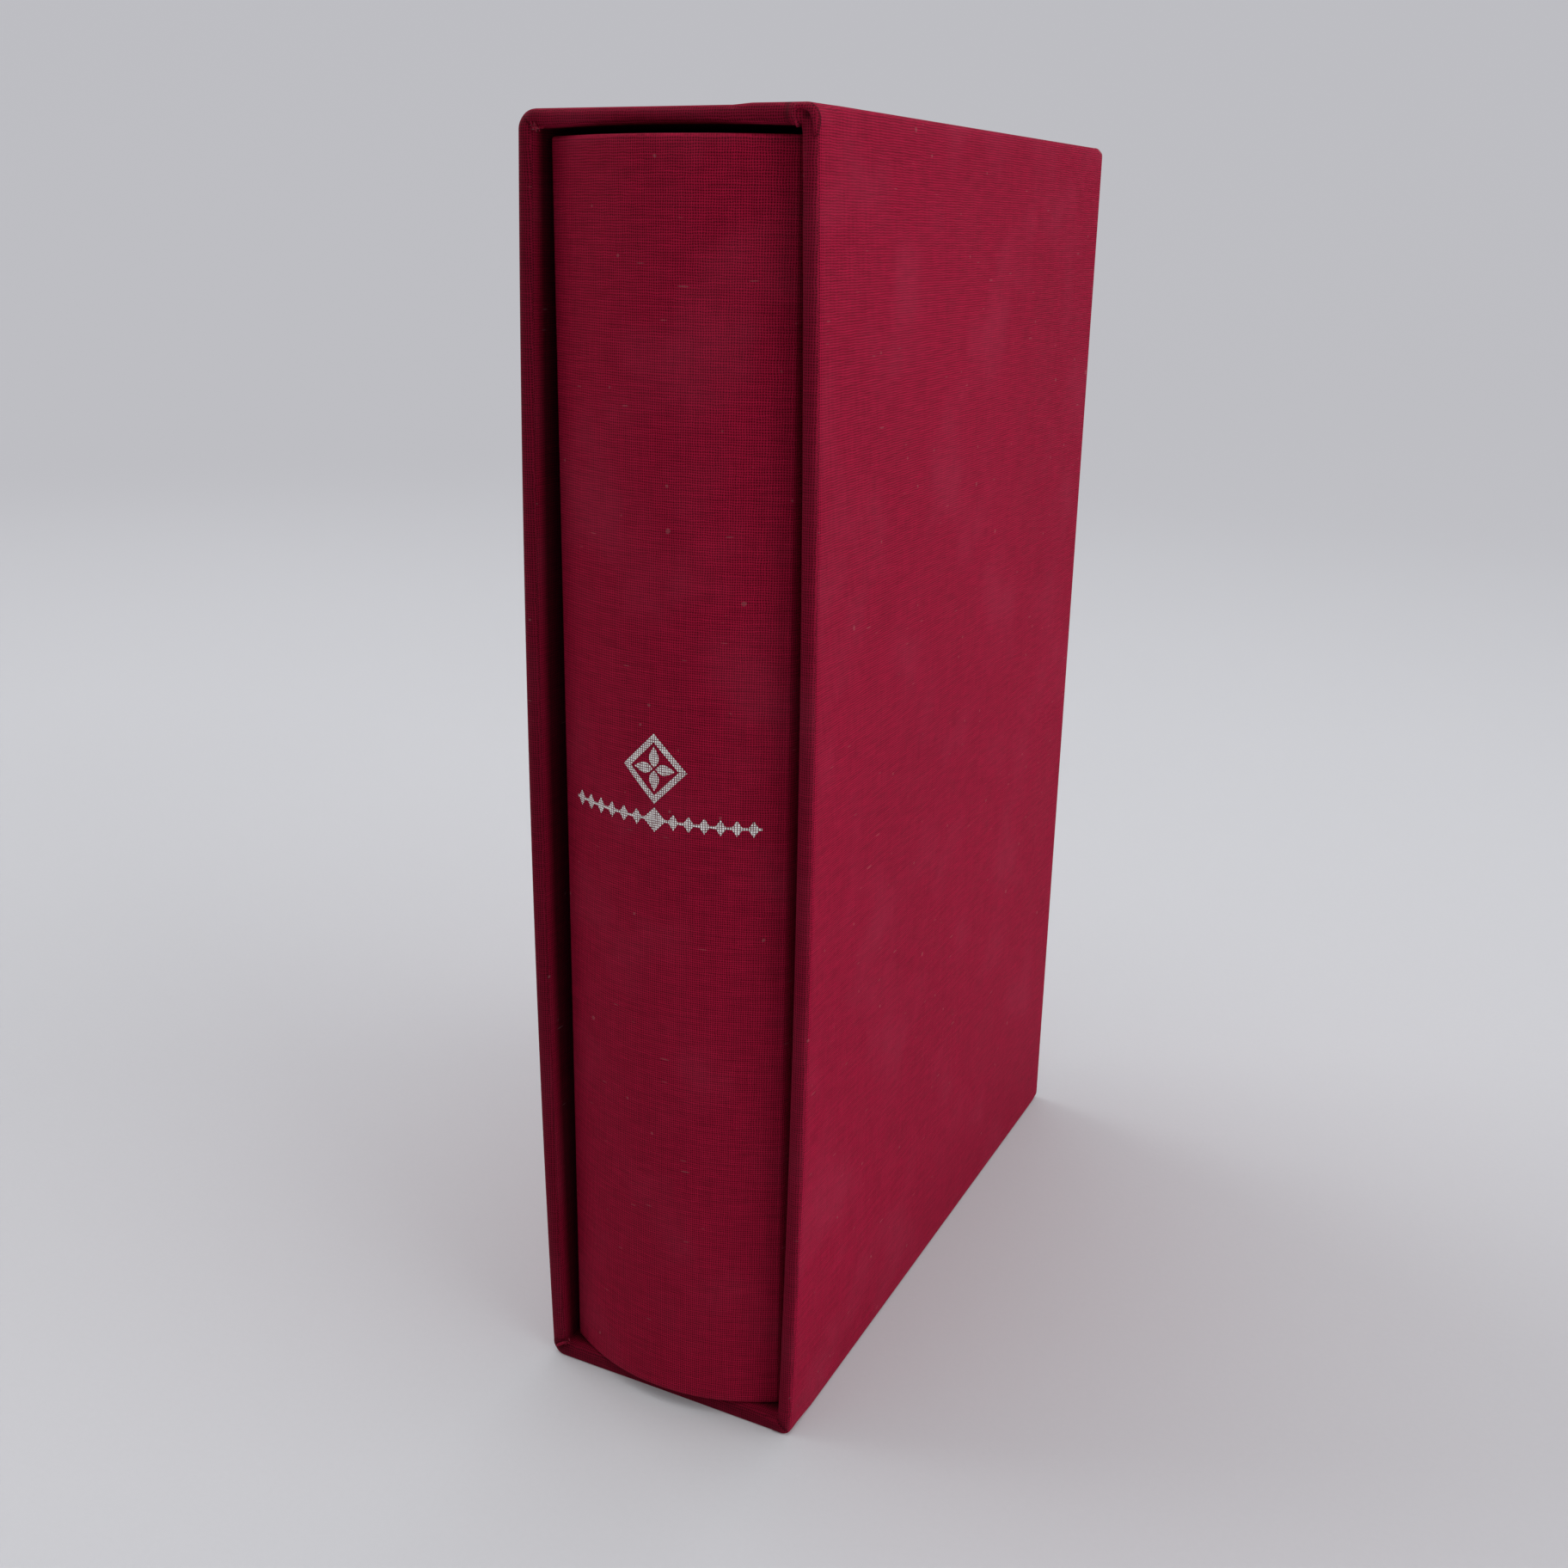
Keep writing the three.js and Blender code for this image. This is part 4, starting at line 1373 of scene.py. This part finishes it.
class Growth:
    """A tree of Geometry Nodes that grows repeated pieces from a row of points or edges."""

    def __init__(self, name: str) -> None:
        """Starts the tree with its one geometry input.

        Args:
            name: The tree's name.
        """
        self.tree = bpy.data.node_groups.new(name, "GeometryNodeTree")
        self.tree.interface.new_socket("Path", in_out="INPUT", socket_type="NodeSocketGeometry")
        self.tree.interface.new_socket("Geometry", in_out="OUTPUT", socket_type="NodeSocketGeometry")
        self.given = self.tree.nodes.new("NodeGroupInput")

    def size(self, name: str, default: float | int) -> bpy.types.NodeSocket:
        """Adds a named number to the tree's inputs.

        Args:
            name: The input's name.
            default: Its value.

        Returns:
            The socket that gives it.
        """
        kind = "NodeSocketInt" if isinstance(default, int) else "NodeSocketFloat"
        made = self.tree.interface.new_socket(name, in_out="INPUT", socket_type=kind)
        made.default_value = default
        return self.given.outputs[name]

    def node(self, kind: str, **fed: object) -> bpy.types.Node:
        """Adds a node.

        Args:
            kind: The node's type name.
            **fed: Inputs by name, with spaces as underscores, or options in lower case.

        Returns:
            The node.
        """
        made = self.tree.nodes.new(kind)
        for key, value in fed.items():
            if key[0].islower():
                setattr(made, key, value)
        for key, value in fed.items():
            if key[0].isupper():
                socket = next(s for s in made.inputs if s.name == key.replace("_", " ") and s.enabled)
                if isinstance(value, bpy.types.NodeSocket):
                    self.tree.links.new(value, socket)
                else:
                    socket.default_value = value
        return made

    def random(self, kind: str, low: object, high: object,
               seed: bpy.types.NodeSocket) -> bpy.types.NodeSocket:
        """A random number or vector for each instance.

        Args:
            kind: FLOAT or FLOAT_VECTOR.
            low: The lowest value.
            high: The highest value.
            seed: The socket that gives the seed.

        Returns:
            The socket that gives it.
        """
        made = self.node("FunctionNodeRandomValue", data_type=kind, Min=low, Max=high, Seed=seed)
        return next(socket for socket in made.outputs if socket.enabled)

    def grow(self, piece: bpy.types.Object, instances: bpy.types.NodeSocket,
             material: bpy.types.Material) -> bpy.types.Object:
        """Ends the tree, and turns what it makes into the piece's plain mesh.

        Args:
            piece: The piece whose mesh is the path.
            instances: The socket that gives the instances.
            material: Their material.

        Returns:
            The piece.
        """
        real = self.node("GeometryNodeRealizeInstances", Geometry=instances)
        paint = self.node("GeometryNodeSetMaterial", Geometry=real.outputs[0], Material=material)
        out = self.tree.nodes.new("NodeGroupOutput")
        self.tree.links.new(paint.outputs[0], out.inputs[0])
        work = piece.modifiers.new("growth", "NODES")
        work.node_group = self.tree
        graph = bpy.context.evaluated_depsgraph_get()
        plain = bpy.data.meshes.new_from_object(piece.evaluated_get(graph), depsgraph=graph)
        piece.modifiers.remove(work)
        piece.data = plain
        plain.shade_smooth()
        return piece


def rowed(name: str, points: list[Point], joined: bool = True) -> bpy.types.Object:
    """A piece whose mesh is a row of points, joined by edges or loose.

    Args:
        name: Its name.
        points: The points.
        joined: Whether edges join them.

    Returns:
        The piece.
    """
    mesh = bpy.data.meshes.new(name)
    mesh.from_pydata(points, [(k, k + 1) for k in range(len(points) - 1)] if joined else [], [])
    return linked(name, mesh)


@dataclass
class EndBand:
    """A silk band worked over a cord, across one end of the pages' back.

    Attributes:
        end: Which end it crosses.
        radius: The radius of the round back.
        half: The half width that it spans.
        cord: The radius of its cord.
        silk: The radius of the silk thread.
        turns: How many turns of silk show.
        lift: How far the cord's middle stands off the pages.
    """

    end: BandEnd
    radius: float = 37.4 * MM
    half: float = 19.3 * MM
    cord: float = 0.8 * MM
    silk: float = 0.13 * MM
    turns: int = 150
    lift: float = 0.85 * MM

    def build(self, silk: bpy.types.Material) -> bpy.types.Object:
        """Works the band and dresses it.

        Args:
            silk: The silk's material.

        Returns:
            The band.
        """
        low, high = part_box("text_block")
        z = (high[2] if self.end is BandEnd.HEAD else low[2]) + self.end.value * self.lift
        inset = self.radius - self.cord
        spread = math.asin(self.half / inset)
        angles = [spread * (2 * share - 1) for share in shares(2 * BAND_STEPS, 0)]
        centre = low[1] + self.radius
        path = [(inset * math.sin(a), centre - inset * math.cos(a), z) for a in angles]
        piece = rowed(self.end.name.lower() + "_band_silk", path)
        tree = Growth(piece.name + "_turns")
        curve = tree.node("GeometryNodeMeshToCurve", Mesh=tree.given.outputs["Path"])
        points = tree.node("GeometryNodeCurveToPoints", mode="COUNT", Curve=curve.outputs[0],
                           Count=tree.size("Turns", self.turns))
        ring = tree.node("GeometryNodeCurvePrimitiveCircle", Resolution=10,
                         Radius=tree.size("Cord radius", self.cord))
        thread = tree.node("GeometryNodeCurvePrimitiveCircle", Resolution=5,
                           Radius=tree.size("Silk radius", self.silk))
        turn = tree.node("GeometryNodeCurveToMesh", Curve=ring.outputs[0], Profile_Curve=thread.outputs[0])
        uneven = tree.random("FLOAT", 0.96, 1.05, tree.size("Seed", 3))
        placed = tree.node("GeometryNodeInstanceOnPoints", Points=points.outputs["Points"],
                           Instance=turn.outputs[0], Rotation=points.outputs["Rotation"], Scale=uneven)
        tree.grow(piece, placed.outputs[0], silk)
        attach(piece, "book")
        return piece


@dataclass
class FrayedThreads:
    """Loose ends of thread where the cloth of the case is cut into its inner corners.

    Attributes:
        case: The covering, which gives the corners.
        length: The length of a loose end.
        thick: Its radius.
        reach: How far along a lip the ends start.
        wear: How worn they are.
        seed: The seed of their directions.
    """

    case: SlipcaseCovering
    length: float = 1.3 * MM
    thick: float = 0.07 * MM
    reach: float = 1.6 * MM
    wear: float = 0.4
    seed: int = 11

    def _roots(self) -> list[Point]:
        """Where the threads start, at the inner corners on the left and a few at the right."""
        case = self.case
        inner = case.half_width - case.wall
        roots = []
        for corner, count in ((Corner.TOP_LEFT, 20), (Corner.BOTTOM_LEFT, 12), (Corner.TOP_RIGHT, 3)):
            side, end = corner.value
            edge = case.height - case.wall if end > 0 else case.wall
            for k in range(count):
                along = self.reach * k / count
                roots.append((
                    side * (inner + 0.25 * MM - along * 0.6),
                    case.mouth_y + 0.45 * MM + 0.25 * along,
                    edge + end * (0.2 * MM - 0.15 * along),
                ))
        return roots

    def build(self, cloth: bpy.types.Material) -> bpy.types.Object:
        """Makes the threads and dresses them.

        Args:
            cloth: The cloth's material.

        Returns:
            The threads.
        """
        piece = rowed("frayed_threads", self._roots(), joined=False)
        tree = Growth("loose_ends")
        points = tree.node("GeometryNodeMeshToPoints", Mesh=tree.given.outputs["Path"])
        bend = tree.node("GeometryNodeCurveQuadraticBezier", Resolution=5, Start=(0.0, 0.0, 0.0),
                         Middle=(0.0, -0.3 * self.length, 0.4 * self.length),
                         End=(0.25 * self.length, -0.35 * self.length, 0.8 * self.length))
        profile = tree.node("GeometryNodeCurvePrimitiveCircle", Resolution=5,
                            Radius=tree.size("Thread radius", self.thick))
        thread = tree.node("GeometryNodeCurveToMesh", Curve=bend.outputs[0], Profile_Curve=profile.outputs[0])
        seed = tree.size("Seed", self.seed)
        turned = tree.random("FLOAT_VECTOR", (-0.5, -2.4, -0.5), (0.5, 2.4, 0.5), seed)
        long = tree.random("FLOAT", 0.5, 1.1, seed)
        placed = tree.node("GeometryNodeInstanceOnPoints", Points=points.outputs[0],
                           Instance=thread.outputs[0], Rotation=turned, Scale=long)
        tree.grow(piece, placed.outputs[0], cloth)
        layer = piece.data.uv_layers.new(name="weave")
        for loop in piece.data.loops:
            place = piece.data.vertices[loop.vertex_index].co
            layer.data[loop.index].uv = (place.x, place.z)
        worn = piece.data.attributes.new("wear", "FLOAT", "POINT")
        worn.data.foreach_set("value", [self.wear] * len(piece.data.vertices))
        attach(piece, "slipcase")
        return piece


@dataclass(frozen=True)
class Curl:
    """One curled fold of cloth on the lip of the case, in millimetres.

    Attributes:
        start: Where it starts, across and up.
        bend: The point that draws it sideways.
        end: Where it ends.
        wide: Half its width.
        proud: How far it stands off the lip.
    """

    start: Flat
    bend: Flat
    end: Flat
    wide: float
    proud: float

    def at(self, share: float) -> Flat:
        """The middle of the fold at a share of its way."""
        back = 1 - share
        return tuple(
            back**2 * a + 2 * share * back * b + share**2 * c
            for a, b, c in zip(self.start, self.bend, self.end)
        )

    def way(self, share: float) -> Vector:
        """The fold's direction there, of length 1."""
        return Vector([
            (1 - share) * (b - a) + share * (c - b)
            for a, b, c in zip(self.start, self.bend, self.end)
        ]).normalized()


@dataclass
class FoldedCorners:
    """The curled folds where the cloth of two walls meets, at the top right and the bottom left.

    Attributes:
        case: The covering, which gives the mouth.
        curls: The folds.
    """

    case: SlipcaseCovering
    curls: tuple[Curl, ...] = (
        Curl((25.6, 242.3), (22.3, 243.3), (23.75, 239.6), 0.55, 1.15),
        Curl((26.6, 238.2), (27.3, 243.2), (24.2, 242.3), 0.75, 0.85),
        Curl((-25.9, 1.7), (-25.0, 2.6), (-23.5, 3.5), 0.4, 0.7),
    )

    def _rings(self, curl: Curl) -> tuple[list[list[Point]], list[list[float]], list[list[float]]]:
        """The rings of a curl from its start to its end, with their wear and their painted shade."""
        rows, wear, shade_and_darkening = [], [], []
        angles = [2 * math.pi * share for share in shares(CURL_SIDES, 0)[:-1]]
        for share in shares(CURL_STEPS, 0):
            middle, way = curl.at(share), curl.way(share)
            swell = 0.12 + 0.88 * math.sin(math.pi * (0.08 + 0.84 * share)) ** 0.7
            row = []
            for angle in angles:
                across = curl.wide * swell * math.cos(angle)
                out = curl.proud * swell * math.sin(angle)
                x, z = (middle[0] - way.y * across) * MM, (middle[1] + way.x * across) * MM
                y = self.case.mouth_y + (0.25 - out) * MM
                row.append((self.case.sprung(x, y, z), y, z))
            rows.append(row)
            wear.append([0.2 * share] * CURL_SIDES)
            # Painted shade: the back of the fold, towards the lip, is darker than its raised front.
            shade_and_darkening.append([0.95 - 0.7 * step(math.sin(angle), 0.0, 0.8) for angle in angles])
        return rows, wear, shade_and_darkening

    def build(self, cloth: bpy.types.Material) -> list[bpy.types.Object]:
        """Makes the folds and dresses them.

        Args:
            cloth: The cloth's material.

        Returns:
            The folds.
        """
        pieces = []
        for index, curl in enumerate(self.curls):
            rows, wear, shade_and_darkening = self._rings(curl)
            name, caps = f"curled_fold_{index + 1}", (0, len(rows) - 1)
            piece = Sheet(name, rows, wear, shade_and_darkening, around=True, caps=caps).build()
            outward(piece.data)
            piece.data.materials.append(cloth)
            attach(piece, "slipcase")
            pieces.append(piece)
        return pieces


@dataclass
class SpineFoil:
    """A lozenge with a flower in it, and under it a rule with a chain of diamonds.

    Attributes:
        radius: The radius that the foil lies on.
        height: The height of the lozenge's middle.
        half: Half the height of the lozenge.
        frame: How wide its frame is.
        petal: How far a petal reaches from the middle.
        petal_start: How far from the middle it starts.
        rule_height: The height of the rule.
        rule_half: Half the rule's length.
        rule_width: The width of the rule.
        diamond: Half the height of the diamond at its middle.
        chain: How many small diamonds the rule carries.
        bead: Half the height of a small diamond.
        thick: The thickness of the foil.
    """

    radius: float = 41.1 * MM
    height: float = 133.4 * MM
    half: float = 6.5 * MM
    frame: float = 1.1 * MM
    petal: float = 4.1 * MM
    petal_start: float = 0.35 * MM
    rule_height: float = 123.9 * MM
    rule_half: float = 20.0 * MM
    rule_width: float = 0.5 * MM
    diamond: float = 2.3 * MM
    chain: int = 12
    bead: float = 1.5 * MM
    thick: float = 0.05 * MM

    def __post_init__(self) -> None:
        """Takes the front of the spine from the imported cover."""
        self.apex_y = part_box("cover_cloth")[0][1]

    def _laid(self, x: float, z: float, lift: float = 0.0) -> Point:
        """A flat point laid round the spine."""
        reach = self.radius + lift
        angle = x / self.radius
        return reach * math.sin(angle), self.apex_y + self.radius - reach * math.cos(angle), z

    def _ribbons(self) -> list[list[tuple[Flat, Flat]]]:
        """The foil's flat shapes, each as pairs of points across it."""
        ribbons = []
        outer, inner = self.half, self.half - self.frame * math.sqrt(2)
        for start, end in (((0, 1), (1, 0)), ((1, 0), (0, -1)), ((0, -1), (-1, 0)), ((-1, 0), (0, 1))):
            ribbon = []
            for share in shares(12, 0):
                x, z = (a + (b - a) * share for a, b in zip(start, end))
                ribbon.append(tuple((size * x, self.height + size * z) for size in (inner, outer)))
            ribbons.append(ribbon)
        for turn in range(4):
            way = (math.cos(turn * math.pi / 2), math.sin(turn * math.pi / 2))
            ribbon = []
            for share in shares(10, 0):
                along = self.petal_start + (self.petal - self.petal_start) * share
                wide = 0.02 * MM + 0.95 * MM * math.sin(math.pi * share**0.8)
                x, z = way[0] * along, way[1] * along
                ribbon.append((
                    (x + way[1] * wide, self.height + z - way[0] * wide),
                    (x - way[1] * wide, self.height + z + way[0] * wide),
                ))
            ribbons.append(ribbon)
        rule = []
        for k in range(81):
            x = self.rule_half * (k / 40 - 1)
            wide = max(self.rule_width / 2, self.diamond - abs(x))
            rule.append(((x, self.rule_height - wide), (x, self.rule_height + wide)))
        ribbons.append(rule)
        return ribbons

    def _stamped(self) -> bpy.types.Object:
        """The frame, the flower and the rule as one mesh with closed sides."""
        points: list[Point] = []
        faces: list[tuple[int, ...]] = []
        for ribbon in self._ribbons():
            first = len(points)
            for pair in ribbon:
                points += [self._laid(*end, lift) for lift in (0.0, self.thick) for end in pair]
            last = first + 4 * (len(ribbon) - 1)
            for k in range(first, last, 4):
                faces += [
                    (k + 2, k + 6, k + 7, k + 3),
                    (k, k + 1, k + 5, k + 4),
                    (k, k + 4, k + 6, k + 2),
                    (k + 1, k + 3, k + 7, k + 5),
                ]
            faces += [(first, first + 2, first + 3, first + 1), (last, last + 1, last + 3, last + 2)]
        mesh = bpy.data.meshes.new("spine_foil")
        mesh.from_pydata(points, [], faces)
        outward(mesh)
        return linked("spine_foil", mesh)

    def _chain(self, foil: bpy.types.Material) -> bpy.types.Object:
        """The chain of small diamonds on the rule."""
        pitch = (self.rule_half - self.diamond) / (self.chain / 2)
        places = []
        for k in range(self.chain // 2):
            x = self.diamond + pitch * (k + 0.5)
            places += [x, -x]
        points = [self._laid(x, self.rule_height, self.thick / 2) for x in places]
        piece = rowed("foil_chain", points, joined=False)
        turn = piece.data.attributes.new("turn", "FLOAT", "POINT")
        turn.data.foreach_set("value", [x / self.radius for x in places])
        tree = Growth("chain_of_diamonds")
        dots = tree.node("GeometryNodeMeshToPoints", Mesh=tree.given.outputs["Path"])
        diamond = tree.node("GeometryNodeMeshCone", Vertices=4,
                            Radius_Top=tree.size("Half height", self.bead),
                            Radius_Bottom=tree.size("Half width", self.bead),
                            Depth=tree.size("Thickness", self.thick))
        upright = tree.node("GeometryNodeTransform", Geometry=diamond.outputs["Mesh"], Scale=(0.7, 1.0, 1.0),
                            Rotation=(math.pi / 2, 0.0, 0.0), Translation=(0.0, self.thick / 2, 0.0))
        given = tree.node("GeometryNodeInputNamedAttribute", data_type="FLOAT", Name="turn")
        angle = next(socket for socket in given.outputs if socket.enabled)
        way = tree.node("ShaderNodeCombineXYZ", Z=angle)
        placed = tree.node("GeometryNodeInstanceOnPoints", Points=dots.outputs[0],
                           Instance=upright.outputs[0], Rotation=way.outputs[0])
        tree.grow(piece, placed.outputs[0], foil)
        piece.data.shade_flat()
        return piece

    def build(self, foil: bpy.types.Material) -> list[bpy.types.Object]:
        """Stamps the foil and dresses it.

        Args:
            foil: The foil's material.

        Returns:
            The foils.
        """
        stamped = self._stamped()
        stamped.data.materials.append(foil)
        chain = self._chain(foil)
        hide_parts("foil_lozenge", "foil_rule")
        for piece in (stamped, chain):
            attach(piece, "book")
        return [stamped, chain]


@dataclass
class View:
    """The camera as the photograph's, from the case's own corners.

    Attributes:
        place: Where it stands, from the mouth's lower left corner of the case.
        yaw: How far it turns from +Y towards +X, in degrees.
        pitch: How far it looks up, in degrees.
        roll: How far it tilts, in degrees.
        lens: The focal length, in millimetres.
        sensor: The sensor's width, in millimetres.
        shift: The lens shift across and up.
    """

    place: Point = (173.11 * MM, -244.90 * MM, 224.96 * MM)
    yaw: float = -26.675
    pitch: float = -17.735
    roll: float = 0.9455
    lens: float = 38.50
    sensor: float = 36.0
    shift: Flat = (0.00417, -0.01321)

    def build(self, case: SlipcaseCovering) -> None:
        """Sets up the camera.

        Args:
            case: The covering, which gives the corner.
        """
        yaw, pitch, roll = (math.radians(a) for a in (self.yaw, self.pitch, self.roll))
        ahead = Vector((
            math.sin(yaw) * math.cos(pitch), math.cos(yaw) * math.cos(pitch), math.sin(pitch),
        ))
        level = Vector((math.cos(yaw), -math.sin(yaw), 0.0))
        above = level.cross(ahead)
        right = level * math.cos(roll) + above * math.sin(roll)
        up = above * math.cos(roll) - level * math.sin(roll)
        data = bpy.data.cameras.new("camera")
        data.lens = self.lens
        data.sensor_width = self.sensor
        data.sensor_fit = "HORIZONTAL"
        data.shift_x, data.shift_y = self.shift
        data.clip_start = 0.01
        camera = linked("camera", data)
        corner = Vector((-case.half_width, case.mouth_y, 0.0))
        turn = Matrix((right, up, -ahead)).transposed().to_4x4()
        camera.matrix_world = Matrix.Translation(corner + Vector(self.place)) @ turn
        bpy.context.scene.camera = camera


@dataclass(frozen=True)
class SweepPaper:
    """A pale paper sweep that fades to the surround with distance and keeps its shadows near by.

    Attributes:
        paper: Its colour.
        surround: The colour it fades to.
        near: How far from the object the fade starts, in metres.
        far: Where it ends.
    """

    paper: Colour
    surround: Colour
    near: float = 0.2
    far: float = 1.45

    def make(self) -> bpy.types.Material:
        """Builds the material.

        Returns:
            The material.
        """
        shader = Shader("sweep_paper")
        place = shader.place()
        distance = shader.node("ShaderNodeVectorMath", operation="LENGTH")
        shader.feed(distance.inputs[0], place)
        grain = shader.noise(place, 900.0, 3.0)
        cloud = shader.noise(place, 3.0, 1.0)
        tone = shader.math("MULTIPLY_ADD", grain, 0.03, shader.math("MULTIPLY_ADD", cloud, 0.04, 0.965))
        lit = shader.surface(shader.scaled(self.paper, tone), 0.95, grain, 0.02 * MM, specular=0.1)
        glow = shader.node("ShaderNodeEmission")
        shader.feed(glow.inputs[0], self.surround)
        fade = shader.ramp(distance.outputs["Value"], self.near, self.far, 0.1, 0.96)
        mix = shader.node("ShaderNodeMixShader")
        shader.feed(mix.inputs[0], shader.math("MULTIPLY", fade, seen_directly(shader.tree)))
        shader.tree.links.new(lit.outputs[0], mix.inputs[1])
        shader.tree.links.new(glow.outputs[0], mix.inputs[2])
        return shader.done(mix)


def seen_directly(tree: bpy.types.NodeTree) -> bpy.types.NodeSocket:
    """A value of 1 for rays from the camera, and for those that metal or glass sends on.

    Args:
        tree: The tree to add the nodes to.

    Returns:
        The value's socket.
    """
    path = tree.nodes.new("ShaderNodeLightPath")
    value = path.outputs["Is Camera Ray"]
    for name in ("Is Glossy Ray", "Is Transmission Ray"):
        either = tree.nodes.new("ShaderNodeMath")
        either.operation = "MAXIMUM"
        tree.links.new(value, either.inputs[0])
        tree.links.new(path.outputs[name], either.inputs[1])
        value = either.outputs[0]
    return value


@dataclass(frozen=True)
class Lamp:
    """A soft lamp.

    Attributes:
        name: Its name.
        power: Its power in watts.
        size: Its width in metres.
        tall: Its height in metres.
        place: Where it hangs.
    """

    name: str
    power: float
    size: float
    tall: float
    place: Point

    def hang(self) -> None:
        """Hangs the lamp and points it at the object."""
        data = bpy.data.lights.new(self.name, "AREA")
        data.energy = self.power
        data.shape = "RECTANGLE"
        data.size = self.size
        data.size_y = self.tall
        lamp = linked(self.name, data)
        lamp.location = self.place
        lamp.rotation_euler = (Vector(AIM) - Vector(self.place)).to_track_quat("-Z", "Y").to_euler()


@dataclass
class Studio:
    """A pale sweep, a wide key from the right, softer lamps above and at the left, and even light.

    Attributes:
        floor: The colour of the sweep.
        surround: The colour behind everything.
        sky: The colour of the light from all sides.
        ambient: The strength of that light.
        wide: Half the width of the sweep, and how far it comes to the front.
        reach: How far behind the object it turns up.
        rise: The radius of that turn.
        top: How high it goes.
        lamps: The lamps.
    """

    floor: Colour = linear(203, 204, 208)
    surround: Colour = linear(189, 189, 194)
    sky: Colour = (1.0, 0.99, 0.985)
    ambient: float = 0.33
    wide: float = 7.0
    reach: float = 1.1
    rise: float = 0.5
    top: float = 2.6
    lamps: tuple[Lamp, ...] = (
        Lamp("key", 52.0, 3.4, 1.7, (2.6, 0.15, 1.0)),
        Lamp("overhead", 41.0, 3.0, 3.0, (-0.2, 0.2, 3.0)),
        Lamp("left", 30.0, 2.4, 1.6, (-2.4, 0.0, 1.5)),
    )

    def _world(self) -> None:
        """Even light from all sides, and the plain surround that the camera sees."""
        world = bpy.data.worlds.new("surround")
        bpy.context.scene.world = world
        world.use_nodes = True
        nodes, link = world.node_tree.nodes, world.node_tree.links.new
        nodes.clear()
        lit = nodes.new("ShaderNodeBackground")
        lit.inputs[0].default_value = (*self.sky, 1.0)
        lit.inputs[1].default_value = self.ambient
        seen = nodes.new("ShaderNodeBackground")
        seen.inputs[0].default_value = (*self.surround, 1.0)
        mix = nodes.new("ShaderNodeMixShader")
        out = nodes.new("ShaderNodeOutputWorld")
        link(seen_directly(world.node_tree), mix.inputs[0])
        link(lit.outputs[0], mix.inputs[1])
        link(seen.outputs[0], mix.inputs[2])
        link(mix.outputs[0], out.inputs[0])

    def build(self) -> None:
        """Makes the sweep, the lamps and the surround."""
        end = self.reach + self.rise
        turn = [(end - self.rise * left, self.rise * started) for started, left in quarter(SWEEP_STEPS)]
        profile = [(-self.wide, 0.0), (self.reach, 0.0), *turn, (end, self.top)]
        points = [(x, y, z) for y, z in profile for x in (-self.wide, self.wide)]
        faces = [(2 * k, 2 * k + 1, 2 * k + 3, 2 * k + 2) for k in range(len(profile) - 1)]
        mesh = bpy.data.meshes.new("sweep")
        mesh.from_pydata(points, [], faces)
        mesh.shade_smooth()
        mesh.materials.append(SweepPaper(self.floor, self.surround).make())
        sweep = linked("sweep", mesh)
        self._world()
        for lamp in self.lamps:
            lamp.hang()


class Finishes:
    """Every finish of the object, by the record's slot."""

    def __init__(self) -> None:
        """Makes the materials."""
        bloom, bare = linear(158, 62, 84), linear(168, 140, 140)
        case_tones = linear(162, 17, 56), linear(118, 10, 37), bloom, bare
        book_tones = linear(164, 18, 55), linear(110, 8, 32), bloom, bare
        self.by_slot = {
            "case_cloth": BookCloth("case_cloth", *case_tones, relief=0.05 * MM, mottle=0.16).make(),
            "book_cloth": BookCloth("book_cloth", *book_tones).make(),
            "grey_board": Paper("grey_board", linear(141, 133, 119), linear(98, 92, 82), 700.0).make(),
            # The lining's dark colour is partly its own and partly painted shade deep inside the case.
            "lining_paper": Paper("lining_paper", linear(32, 21, 24), linear(20, 13, 15)).make(),
            "page_paper": PageEdges("page_edges", linear(236, 228, 208), linear(168, 156, 132)).make(),
            "end_paper": Paper(
                "end_paper", linear(226, 217, 198), linear(205, 194, 172), strength=0.2
            ).make(),
            "mull_cotton": OpenWeave("mull_cotton", linear(229, 221, 203), linear(160, 146, 120)).make(),
            "kraft_paper": Paper("kraft_paper", linear(160, 124, 82), linear(122, 90, 56)).make(),
            "band_silk": OpenWeave("band_silk", linear(150, 38, 58), linear(86, 18, 32), 0.5 * MM).make(),
            "silver_foil": StampedFoil("silver_foil", linear(255, 254, 252), linear(96, 9, 30)).make(),
        }

    def dress(self, record: dict, nodes: dict) -> None:
        """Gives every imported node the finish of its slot.

        Args:
            record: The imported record.
            nodes: The nodes' objects by name.
        """
        for part in record["subparts"]:
            piece = nodes[part["node"]]
            piece.data.materials.clear()
            piece.data.materials.append(self.by_slot[part["material_slot"]])


def main() -> None:
    """Builds the object, its finishes, the studio and the camera."""
    logging.basicConfig(level=logging.INFO, format="%(name)s: %(message)s")
    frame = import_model()
    finishes = Finishes()
    finishes.dress(frame["record"], frame["nodes"])
    slots = finishes.by_slot
    case = SlipcaseCovering()
    View().build(case)
    pieces = [
        case.build(slots["case_cloth"]),
        *CaseBoards(case).build(slots["grey_board"]),
        BookCover().build(slots["book_cloth"]),
        Pages().build(slots["page_paper"]),
        *(EndBand(end).build(slots["band_silk"]) for end in BandEnd),
        FrayedThreads(case).build(slots["case_cloth"]),
        *FoldedCorners(case).build(slots["case_cloth"]),
        *SpineFoil().build(slots["silver_foil"]),
    ]
    for piece in pieces:
        LOG.info("made %s", piece.name)
    Studio().build()
    bpy.context.scene.view_settings.view_transform = "Standard"


if __name__ == "__main__":
    main()
